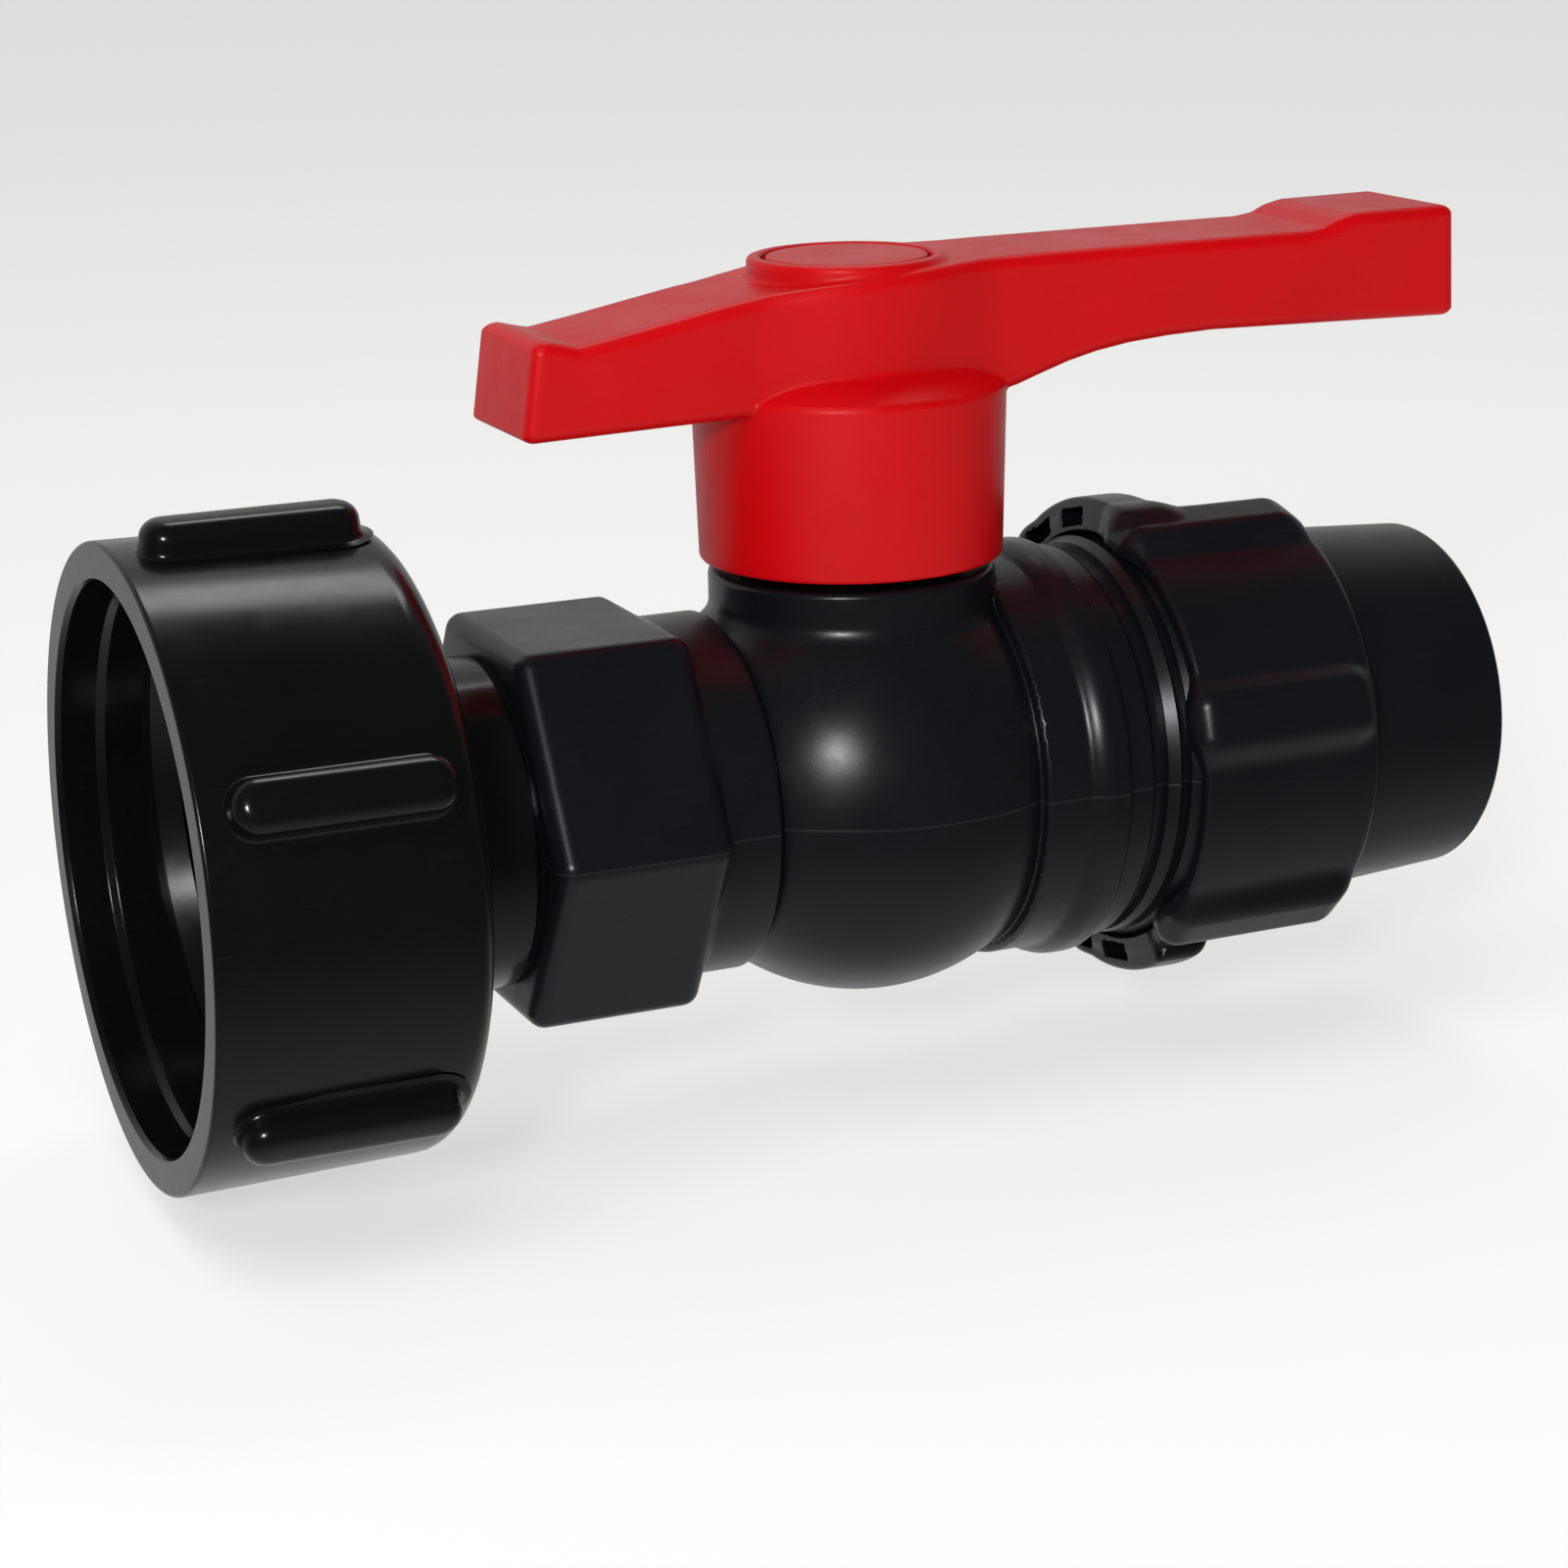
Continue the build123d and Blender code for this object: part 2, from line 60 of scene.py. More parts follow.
def linearColour(hexCode):
    parts = [int(hexCode[i:i + 2], 16) / 255 for i in (0, 2, 4)]
    return [p / 12.92 if p <= 0.04045 else ((p + 0.055) / 1.055) ** 2.4 for p in parts] + [1.0]


def addNode(tree, kind, settings=None, inputs=None):
    node = tree.nodes.new(kind)
    for name, value in (settings or {}).items():
        setattr(node, name, value)
    for socket, value in (inputs or {}).items():
        if isinstance(value, bpy.types.NodeSocket):
            tree.links.new(value, node.inputs[socket])
        else:
            node.inputs[socket].default_value = value
    return node


def perMetre(sizeInMm):
    return 1.0 / (sizeInMm * mm)  # texture scale whose features are about this size


# A moulded plastic: mottled pigment, faint flow streaks along the moulding, a fine skin from the
# steel tool, handling scuffs that turn the gloss, a few dust specks, and a raised parting line
# with a painted highlight tinted pale along it.
def mouldedPlastic(name, look):
    material = bpy.data.materials.new(name)
    material.use_nodes = True
    tree = material.node_tree
    tree.nodes.clear()
    place = addNode(tree, "ShaderNodeTexCoord").outputs["Object"]
    cloud = addNode(tree, "ShaderNodeTexNoise", None, {
        "Vector": place, "Scale": perMetre(look["cloudSize"]), "Detail": 3.0})
    stretched = addNode(tree, "ShaderNodeMapping", None, {
        "Vector": place, "Scale": look["streakStretch"]})
    streak = addNode(tree, "ShaderNodeTexNoise", None, {
        "Vector": stretched.outputs[0], "Scale": perMetre(look["streakSize"]), "Detail": 4.0,
        "Distortion": 0.6})
    skin = addNode(tree, "ShaderNodeTexNoise", None, {
        "Vector": place, "Scale": perMetre(look["skinSize"]), "Detail": 2.0, "Roughness": 0.6})
    scuff = addNode(tree, "ShaderNodeTexNoise", None, {
        "Vector": place, "Scale": perMetre(look["scuffSize"]), "Detail": 6.0, "Roughness": 0.7})
    scratchPlace = addNode(tree, "ShaderNodeMapping", None, {
        "Vector": place, "Rotation": (0.4, 0.7, 0.3), "Scale": (1.0, 14.0, 14.0)})
    scratch = addNode(tree, "ShaderNodeTexNoise", None, {
        "Vector": scratchPlace.outputs[0], "Scale": perMetre(look["scratchLength"]), "Detail": 3.0})
    scratchLine = addNode(tree, "ShaderNodeMapRange", None, {
        "Value": scratch.outputs["Fac"], "From Min": 0.66, "From Max": 0.72})
    dust = addNode(tree, "ShaderNodeTexVoronoi", None, {
        "Vector": place, "Scale": perMetre(look["dustSpacing"])})
    dustDot = addNode(tree, "ShaderNodeMapRange", None, {
        "Value": dust.outputs["Distance"], "From Min": look["dustSize"] / look["dustSpacing"],
        "From Max": 0.4 * look["dustSize"] / look["dustSpacing"]})
    dustPick = addNode(tree, "ShaderNodeMath", {"operation": "LESS_THAN"}, {
        0: dust.outputs["Color"], 1: look["dustShare"]})
    dustMask = addNode(tree, "ShaderNodeMath", {"operation": "MULTIPLY"}, {
        0: dustDot.outputs[0], 1: dustPick.outputs[0]})
    # parting line, where the two halves of the mould met, and a painted highlight tinted pale along
    # it
    height = addNode(tree, "ShaderNodeSeparateXYZ", None, {0: place}).outputs[look["partingAxis"]]
    wander = addNode(tree, "ShaderNodeMath", {"operation": "MULTIPLY_ADD"}, {
        0: cloud.outputs["Fac"], 1: 0.5 * mm, 2: height})
    off = addNode(tree, "ShaderNodeMath", {"operation": "SUBTRACT"}, {
        0: wander.outputs[0], 1: (look["partingAt"] + 0.25) * mm})
    away = addNode(tree, "ShaderNodeMath", {"operation": "ABSOLUTE"}, {0: off.outputs[0]})
    parting = addNode(tree, "ShaderNodeMapRange", {"interpolation_type": "SMOOTHSTEP"}, {
        "Value": away.outputs[0], "From Min": look["partingWidth"] * mm, "From Max": 0.0})
    pigment = addNode(tree, "ShaderNodeMix", {"data_type": "RGBA"}, {
        0: cloud.outputs["Fac"], 6: linearColour(look["dark"]), 7: linearColour(look["light"])})
    # pale tint along the parting line: a painted highlight where light would catch the ridge
    partingHighlightMask = addNode(tree, "ShaderNodeMath", {"operation": "MULTIPLY"}, {
        0: parting.outputs[0], 1: look["partingPaintedHighlight"]})
    partingHighlighted = addNode(tree, "ShaderNodeMix", {"data_type": "RGBA"}, {
        0: partingHighlightMask.outputs[0], 6: pigment.outputs[2], 7: linearColour(look["wearAndHighlight"])})
    scratchPale = addNode(tree, "ShaderNodeMath", {"operation": "MULTIPLY"}, {
        0: scratchLine.outputs[0], 1: look["scratchPale"]})
    scratched = addNode(tree, "ShaderNodeMix", {"data_type": "RGBA"}, {
        0: scratchPale.outputs[0], 6: partingHighlighted.outputs[2], 7: linearColour(look["wearAndHighlight"])})
    dusted = addNode(tree, "ShaderNodeMix", {"data_type": "RGBA"}, {
        0: dustMask.outputs[0], 6: scratched.outputs[2], 7: linearColour("8e8c88")})
    gloss = addNode(tree, "ShaderNodeMapRange", None, {
        "Value": scuff.outputs["Fac"], "From Min": 0.3, "From Max": 0.7,
        "To Min": look["smoothest"], "To Max": look["roughest"]})
    skinRelief = addNode(tree, "ShaderNodeBump", None, {
        "Height": skin.outputs["Fac"], "Strength": look["skinStrength"], "Distance": 0.02 * mm})
    streakRelief = addNode(tree, "ShaderNodeBump", None, {
        "Height": streak.outputs["Fac"], "Strength": look["streakStrength"], "Distance": 0.2 * mm,
        "Normal": skinRelief.outputs[0]})
    lineRelief = addNode(tree, "ShaderNodeBump", None, {
        "Height": parting.outputs[0], "Strength": 0.6, "Distance": look["partingHeight"] * mm,
        "Normal": streakRelief.outputs[0]})
    surface = addNode(tree, "ShaderNodeBsdfPrincipled", None, {
        "Base Color": dusted.outputs[2], "Roughness": gloss.outputs[0], "IOR": look["ior"],
        "Specular IOR Level": look["shine"], "Normal": lineRelief.outputs[0]})
    if look.get("depth"):
        surface.inputs["Subsurface Weight"].default_value = look["depth"]
        surface.inputs["Subsurface Radius"].default_value = (1.0, 0.2, 0.1)
        surface.inputs["Subsurface Scale"].default_value = 1.2 * mm
    addNode(tree, "ShaderNodeOutputMaterial", None, {"Surface": surface.outputs[0]})
    return material


plasticLook = {
    "cloudSize": 14.0, "streakSize": 5.0, "streakStretch": (0.25, 1.0, 1.0), "skinSize": 0.45,
    "scuffSize": 9.0, "scratchLength": 5.0, "dustSpacing": 9.0, "dustSize": 0.22, "dustShare": 0.3,
    "partingAxis": "Z", "partingAt": 0.0, "partingWidth": 0.22, "partingHeight": 0.05,
    "partingPaintedHighlight": 0.2, "scratchPale": 0.03, "skinStrength": 0.25, "streakStrength": 0.06,
    "wearAndHighlight": "5a5d61", "ior": 1.49, "shine": 0.5,
}
# injection-moulded polypropylene, carbon black, polished tool: deep black, wet, tight highlight
blackPolypropylene = mouldedPlastic("glossy black polypropylene", {
    **plasticLook, "dark": "090a0a", "light": "0d0e0e", "smoothest": 0.15, "roughest": 0.24,
    "skinStrength": 0.1, "partingPaintedHighlight": 0.0, "partingHeight": 0.0, "shine": 0.45})
# injection-moulded rigid PVC, blue-grey black, fine matt tool: soft bluish sheen
graphiteLook = {
    **plasticLook, "dark": "0c0e11", "light": "121519", "smoothest": 0.24, "roughest": 0.36,
    "partingPaintedHighlight": 0.0, "partingHeight": 0.0, "shine": 0.45}
# the nut and the tail come out of ring-gated moulds with no line on their sides
nutPvc = mouldedPlastic("satin graphite rigid PVC", graphiteLook)
# the body keeps its parting line: a raised ridge, tinted pale as a painted highlight
bodyPvc = mouldedPlastic("satin graphite rigid PVC with parting line", {
    **graphiteLook, "partingPaintedHighlight": 0.09, "partingHeight": 0.04})
# injection-moulded polypropylene with red masterbatch: slightly translucent, waxy, soft highlights
# its parting line runs along Y, tinted pale as a painted highlight
redPolypropylene = mouldedPlastic("waxy red polypropylene", {
    **plasticLook, "dark": "c6040c", "light": "d6060e", "wearAndHighlight": "e8707c", "smoothest": 0.3,
    "roughest": 0.42, "depth": 0.1, "partingAxis": "Y", "partingPaintedHighlight": 0.1, "dustShare": 0.1,
    "shine": 0.24})
# turned PTFE: chalky white, waxy and dull
whitePtfe = mouldedPlastic("white PTFE", {
    **plasticLook, "dark": "dcdcd6", "light": "e8e8e2", "wearAndHighlight": "ffffff", "smoothest": 0.5,
    "roughest": 0.62, "partingPaintedHighlight": 0.0, "partingHeight": 0.0, "ior": 1.38})
# polished plastic ball and stem: dark grey, smooth where the seats rub
greyBall = mouldedPlastic("polished grey PVC ball", {
    **plasticLook, "dark": "3a3b3d", "light": "444649", "wearAndHighlight": "707275", "smoothest": 0.16,
    "roughest": 0.28, "partingPaintedHighlight": 0.0, "partingHeight": 0.0})
# moulded EPDM rubber: dead black, matt, with a flash line tinted pale as a painted highlight
blackRubber = mouldedPlastic("moulded EPDM rubber", {
    **plasticLook, "dark": "0d0d0d", "light": "161616", "wearAndHighlight": "2a2a2a", "smoothest": 0.6,
    "roughest": 0.75, "skinStrength": 0.5, "ior": 1.52})


# turned stainless steel: bright grey metal with lathe rings about the stem
def turnedSteel(name, look):
    material = bpy.data.materials.new(name)
    material.use_nodes = True
    tree = material.node_tree
    tree.nodes.clear()
    place = addNode(tree, "ShaderNodeTexCoord").outputs["Object"]
    centred = addNode(tree, "ShaderNodeMapping", None, {
        "Vector": place, "Location": (-stemX * mm, 0.0, 0.0)})
    rings = addNode(tree, "ShaderNodeTexWave", {"wave_type": "RINGS", "rings_direction": "Z"}, {
        "Vector": centred.outputs[0], "Scale": perMetre(look["ringPitch"]) / 20, "Distortion": 1.5})
    gloss = addNode(tree, "ShaderNodeMapRange", None, {
        "Value": rings.outputs["Fac"], "To Min": look["smoothest"], "To Max": look["roughest"]})
    relief = addNode(tree, "ShaderNodeBump", None, {
        "Height": rings.outputs["Fac"], "Strength": 0.2, "Distance": 0.01 * mm})
    surface = addNode(tree, "ShaderNodeBsdfPrincipled", None, {
        "Base Color": linearColour(look["colour"]), "Metallic": 1.0,
        "Roughness": gloss.outputs[0], "Normal": relief.outputs[0]})
    addNode(tree, "ShaderNodeOutputMaterial", None, {"Surface": surface.outputs[0]})
    return material


stainlessSteel = turnedSteel("turned stainless steel", {
    "ringPitch": 0.3, "smoothest": 0.22, "roughest": 0.38, "colour": "c9c8c5"})

slotMaterials = {
    "adapter_black": blackPolypropylene, "body_graphite": nutPvc, "handle_red": redPolypropylene,
    "seat_white": whitePtfe, "ball_grey": greyBall, "seal_rubber": blackRubber,
    "screw_steel": stainlessSteel,
}
print("materials:", len(slotMaterials))


# Shapes as distance fields.
# A field is negative inside a shape. Joins and cuts are rounded, as in a mould.

def roundJoin(a, b, radius):
    return np.maximum(radius, np.minimum(a, b)) - np.hypot(
        np.maximum(radius - a, 0), np.maximum(radius - b, 0))


def roundMeet(a, b, radius):
    return -roundJoin(-a, -b, radius)


def slab(value, low, high):
    return np.abs(value - (low + high) / 2) - (high - low) / 2


def sloped(x, r, start, end):
    # distance to the line from start to end, negative on its inner side
    along, out = end[0] - start[0], end[1] - start[1]
    length = math.hypot(along, out)
    return ((r - start[1]) * along - (x - start[0]) * out) / length


def hexagonDistance(y, z, flat, rounding):
    # flats face up and down, corners at the near and far sides
    reach = flat - rounding
    px, py = np.abs(y), np.abs(z)
    kx, ky, kz = -math.sqrt(3) / 2, 0.5, 1 / math.sqrt(3)
    fold = 2 * np.minimum(kx * px + ky * py, 0)
    px, py = px - fold * kx, py - fold * ky
    px, py = px - np.clip(px, -kz * reach, kz * reach), py - reach
    return np.hypot(px, py) * np.sign(py) - rounding


def outlineDistance(u, v, points):
    # signed distance to a closed outline
    best = np.full(u.shape, 1e9)
    side = np.ones(u.shape)
    for (ax, ay), (bx, by) in zip(points, points[1:] + points[:1]):
        ex, ey = bx - ax, by - ay
        wx, wy = u - ax, v - ay
        t = np.clip((wx * ex + wy * ey) / (ex * ex + ey * ey), 0, 1)
        best = np.minimum(best, (wx - t * ex) ** 2 + (wy - t * ey) ** 2)
        above, below, left = v >= ay, v < by, ex * wy > ey * wx
        side = np.where((above & below & left) | (~above & ~below & ~left), -side, side)
    return side * np.sqrt(best)


def gridLines(low, high, step, fine=()):
    # even lines, closer together within each (from, to, step) stretch
    lines = [low]
    while lines[-1] < high:
        here = lines[-1]
        gap = min([step] + [s for a, b, s in fine if a - 0.5 * s < here < b])
        lines.append(here + gap)
    return np.array(lines)


meshing = {"probe": 0.02, "leastSlope": 0.05, "longestMove": 0.4, "evenRounds": 3, "evenShare": 0.5,
           "lastRounds": 2}


# Wraps a field in quads, slides them onto it, and takes the shading from the field's own slope.
def skinField(name, field, xs, ys, zs):
    lines = [xs, ys, zs]
    values = field(*np.meshgrid(xs, ys, zs, indexing="ij"))
    inside = values < 0
    cells = tuple(n - 1 for n in inside.shape)
    spans = [slice(0, -1), slice(1, None)]
    count = sum(inside[spans[i], spans[j], spans[k]].astype(int)
                for i in (0, 1) for j in (0, 1) for k in (0, 1))
    mixed = (count > 0) & (count < 8)
    number = np.full(cells, -1)
    number[mixed] = np.arange(mixed.sum())
    where = np.argwhere(mixed)
    total, weight = np.zeros((len(where), 3)), np.zeros(len(where))
    for axis in range(3):
        others = [a for a in range(3) if a != axis]
        for i in (0, 1):
            for j in (0, 1):
                start = where.copy()
                start[:, others[0]] += i
                start[:, others[1]] += j
                end = start.copy()
                end[:, axis] += 1
                a, b = values[tuple(start.T)], values[tuple(end.T)]
                hit = (a < 0) != (b < 0)
                share = np.where(hit, a / np.where(hit, a - b, 1), 0)
                point = np.stack([lines[d][start[:, d]] for d in range(3)], 1)
                point[:, axis] += share * (lines[axis][end[:, axis]] - lines[axis][start[:, axis]])
                total += point * hit[:, None]
                weight += hit
    points = total / weight[:, None]
    faces = []
    for axis in range(3):
        b, c = (axis + 1) % 3, (axis + 2) % 3
        flags = np.moveaxis(inside, (axis, b, c), (0, 1, 2))
        ids = np.moveaxis(number, (axis, b, c), (0, 1, 2))
        change = flags[:-1, 1:-1, 1:-1] != flags[1:, 1:-1, 1:-1]
        i, j, k = np.nonzero(change)
        quad = np.stack([
            ids[i, j, k], ids[i, j + 1, k], ids[i, j + 1, k + 1], ids[i, j, k + 1]], 1)
        outwards = flags[:-1, 1:-1, 1:-1][change]
        faces.append(np.where(outwards[:, None], quad, quad[:, ::-1]))
    faces = np.concatenate(faces)

    def readField(p):
        # value and slope from four samples round each point
        reach = meshing["probe"]
        around = np.array([[1, 1, 1], [1, -1, -1], [-1, 1, -1], [-1, -1, 1]])
        found = np.stack([field(*(p + reach * way).T) for way in around])
        return found.mean(0), found.T @ around / (4 * reach)

    def settle(p):
        value, slope = readField(p)
        steepness = np.maximum((slope ** 2).sum(1), meshing["leastSlope"])
        move = -(value / steepness)[:, None] * slope
        length = np.linalg.norm(move, axis=1, keepdims=True)
        return p + move * np.minimum(1, meshing["longestMove"] / np.maximum(length, 1e-9))

    ends = np.concatenate([faces[:, [0, 1]], faces[:, [1, 2]], faces[:, [2, 3]], faces[:, [3, 0]]])
    points = settle(points)
    for turn in range(meshing["evenRounds"]):  # even out the quads along the surface
        near = np.zeros_like(points)
        for d in range(3):
            near[:, d] = np.bincount(ends[:, 0], points[ends[:, 1], d], len(points))
        met = np.bincount(ends[:, 0], minlength=len(points))
        points = settle(points + meshing["evenShare"] * (near / met[:, None] - points))
    for turn in range(meshing["lastRounds"]):
        points = settle(points)
    slope = readField(points)[1]
    normals = slope / np.maximum(np.linalg.norm(slope, axis=1, keepdims=True), 1e-9)
    mesh = bpy.data.meshes.new(name)
    mesh.from_pydata((points * mm).tolist(), [], faces.tolist())
    mesh.shade_smooth()
    mesh.normals_split_custom_set_from_vertices(normals.tolist())
    return addPiece(name, mesh)


def addPiece(name, mesh):
    piece = bpy.data.objects.new(name, mesh)
    bpy.context.scene.collection.objects.link(piece)
    return piece


def finishPiece(piece, material, body, slotName, *nodes):
    piece.data.materials.clear()
    piece.data.materials.append(material)
    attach(piece, body)
    if nodes:
        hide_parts(*nodes)
    print(piece.name, len(piece.data.polygons), "faces")


# Turned shells, lugs and threads.

sharpSupport, arcSupport = 0.08, 0.12  # how far a corner's or an arc's support points stand off


def roundedOutline(corners, degreesPerStep=11.25):
    # closed outline from (x, radius[, rounding]) corners, with support points beside each
    points = []
    for index, corner in enumerate(corners):
        here = np.array(corner[:2], float)
        rounding = corner[2] if len(corner) == 3 else 0.0
        before = np.array(corners[index - 1][:2], float) - here
        after = np.array(corners[(index + 1) % len(corners)][:2], float) - here
        toBefore, toAfter = before / np.linalg.norm(before), after / np.linalg.norm(after)
        opening = math.acos(np.clip(toBefore @ toAfter, -1, 1))
        if rounding <= 0:
            points += [here + toBefore * sharpSupport, here, here + toAfter * sharpSupport]
            continue
        cut = rounding / math.tan(opening / 2)
        bisector = (toBefore + toAfter) / np.linalg.norm(toBefore + toAfter)
        centre = here + bisector * rounding / math.sin(opening / 2)
        start, end = here + toBefore * cut - centre, here + toAfter * cut - centre
        sweep = math.pi - opening
        steps = max(3, round(math.degrees(sweep) / degreesPerStep))
        points.append(centre + start + toBefore * arcSupport)
        for step in range(steps + 1):
            share = step / steps
            turned = math.sin((1 - share) * sweep) * start + math.sin(share * sweep) * end
            points.append(centre + turned / math.sin(sweep))
        points.append(centre + end + toAfter * arcSupport)
    return points


def turnedShell(name, corners, columns):
    outline = roundedOutline(corners)
    rows = len(outline)
    angles = np.arange(columns) * 2 * math.pi / columns
    points = [(x, -r * math.cos(a), r * math.sin(a)) for x, r in outline for a in angles]
    faces = []
    for i in range(rows):
        below, above = i * columns, ((i + 1) % rows) * columns
        for j in range(columns):
            k = (j + 1) % columns
            faces.append((below + j, above + j, above + k, below + k))
    mesh = bpy.data.meshes.new(name)
    mesh.from_pydata([Vector(p) * mm for p in points], [], faces)
    faceOutwards(mesh)
    return addPiece(name, mesh)


def faceOutwards(mesh):
    work = bmesh.new()
    work.from_mesh(mesh)
    bmesh.ops.recalc_face_normals(work, faces=work.faces)
    work.to_mesh(mesh)
    work.free()


def newTree(name, sizes):
    tree = bpy.data.node_groups.new(name, "GeometryNodeTree")
    tree.interface.new_socket("Geometry", in_out="OUTPUT", socket_type="NodeSocketGeometry")
    tree.interface.new_socket("Geometry", in_out="INPUT", socket_type="NodeSocketGeometry")
    for size, kind in sizes.items():
        tree.interface.new_socket(size, in_out="INPUT", socket_type="NodeSocket" + kind)
    return tree, addNode(tree, "NodeGroupInput").outputs


def closeTree(tree, geometry, material):
    solid = addNode(tree, "GeometryNodeRealizeInstances", None, {"Geometry": geometry})
    painted = addNode(tree, "GeometryNodeSetMaterial", None, {
        "Geometry": solid.outputs[0], "Material": material})
    addNode(tree, "NodeGroupOutput", None, {0: painted.outputs[0]})
    return tree


# one lug, turned round the flow axis as many times as the count says, and joined to its shell
def lugRingTree():
    tree, given = newTree("ring of grip lugs", {
        "Lug": "Object", "Count": "Int", "First Angle": "Float", "Material": "Material"})
    lug = addNode(tree, "GeometryNodeObjectInfo", None, {"Object": given["Lug"]})
    spots = addNode(tree, "GeometryNodeMeshLine", None, {
        "Count": given["Count"], "Offset": (0.0, 0.0, 0.0)})
    index = addNode(tree, "GeometryNodeInputIndex")
    step = addNode(tree, "ShaderNodeMath", {"operation": "DIVIDE"}, {
        0: -2 * math.pi, 1: given["Count"]})
    turn = addNode(tree, "ShaderNodeMath", {"operation": "MULTIPLY"}, {
        0: index.outputs[0], 1: step.outputs[0]})
    angle = addNode(tree, "ShaderNodeMath", {"operation": "SUBTRACT"}, {
        0: turn.outputs[0], 1: given["First Angle"]})
    rotation = addNode(tree, "ShaderNodeCombineXYZ", None, {"X": angle.outputs[0]})
    ring = addNode(tree, "GeometryNodeInstanceOnPoints", None, {
        "Points": spots.outputs[0], "Instance": lug.outputs["Geometry"],
        "Rotation": rotation.outputs[0]})
    both = addNode(tree, "GeometryNodeJoinGeometry")
    tree.links.new(ring.outputs[0], both.inputs[0])
    tree.links.new(given["Geometry"], both.inputs[0])
    return closeTree(tree, both.outputs[0], given["Material"])


# one start of a thread: a trapezium swept along a helix, running out to nothing at both ends
def threadTree():
    tree, given = newTree("helical thread", {
        "Start": "Float", "Pitch": "Float", "Turns": "Float", "Radius": "Float", "Depth": "Float",
        "Root Width": "Float", "Crest Width": "Float", "Steps": "Int", "Material": "Material"})
    length = addNode(tree, "ShaderNodeMath", {"operation": "MULTIPLY"}, {
        0: given["Pitch"], 1: given["Turns"]})
    helix = addNode(tree, "GeometryNodeCurveSpiral", None, {
        "Resolution": given["Steps"], "Rotations": given["Turns"], "Start Radius": given["Radius"],
        "End Radius": given["Radius"], "Height": length.outputs[0], "Reverse": False})
    upright = addNode(tree, "GeometryNodeSetCurveNormal", {"mode": "Z_UP"}, {
        "Curve": helix.outputs[0]})
    tooth = addNode(tree, "GeometryNodeCurvePrimitiveQuadrilateral", {"mode": "TRAPEZOID"}, {
        "Height": given["Depth"], "Bottom Width": given["Root Width"],
        "Top Width": given["Crest Width"], "Offset": 0.0})
    along = addNode(tree, "GeometryNodeSplineParameter")
    rise = addNode(tree, "ShaderNodeMapRange", None, {
        "Value": along.outputs["Factor"], "From Min": 0.0, "From Max": 0.04, "To Min": 0.05})
    fall = addNode(tree, "ShaderNodeMapRange", None, {
        "Value": along.outputs["Factor"], "From Min": 1.0, "From Max": 0.96, "To Min": 0.05})
    runOut = addNode(tree, "ShaderNodeMath", {"operation": "MINIMUM"}, {
        0: rise.outputs[0], 1: fall.outputs[0]})
    ridge = addNode(tree, "GeometryNodeCurveToMesh", None, {
        "Curve": upright.outputs[0], "Profile Curve": tooth.outputs[0], "Scale": runOut.outputs[0],
        "Fill Caps": True})
    start = addNode(tree, "ShaderNodeCombineXYZ", None, {"X": given["Start"]})
    laid = addNode(tree, "GeometryNodeTransform", None, {
        "Geometry": ridge.outputs[0], "Translation": start.outputs[0],
        "Rotation": (0.0, math.pi / 2, 0.0)})
    both = addNode(tree, "GeometryNodeJoinGeometry")
    tree.links.new(laid.outputs[0], both.inputs[0])
    tree.links.new(given["Geometry"], both.inputs[0])
    return closeTree(tree, both.outputs[0], given["Material"])


lugRing = lugRingTree()
helicalThread = threadTree()


def growOn(piece, tree, values):
    modifier = piece.modifiers.new(tree.name, "NODES")
    modifier.node_group = tree
    for item in tree.interface.items_tree:
        if item.item_type == "SOCKET" and item.in_out == "INPUT" and item.name in values:
            modifier[item.identifier] = values[item.name]


# one thread in millimetres, from its first turn at start
def growThread(piece, t, material):
    growOn(piece, helicalThread, {
        "Start": t["start"] * mm, "Pitch": t["pitch"] * mm, "Turns": t["turns"],
        "Radius": t["radius"] * mm, "Depth": t["depth"] * mm, "Root Width": t["rootWidth"] * mm,
        "Crest Width": t["crestWidth"] * mm, "Steps": t["steps"], "Material": material})


def bakeShape(piece, sharpAbove=38):
    bpy.context.view_layer.update()
    ready = piece.evaluated_get(bpy.context.evaluated_depsgraph_get())
    mesh = bpy.data.meshes.new_from_object(ready)
    piece.modifiers.clear()
    piece.data = mesh
    mesh.shade_smooth()
    mesh.set_sharp_from_angle(angle=math.radians(sharpAbove))


lugRings = {
    "footAngles": (14, 30, 48, 68, 90), "crownAngles": (0, 12, 28, 45, 62, 78, 90),
    "perCorner": 9, "skirtIn": 0.3, "skirtOut": 0.5, "skirtSink": 0.06, "crownIn": 0.12,
    "topIn": 0.4, "topRise": 0.02,
}


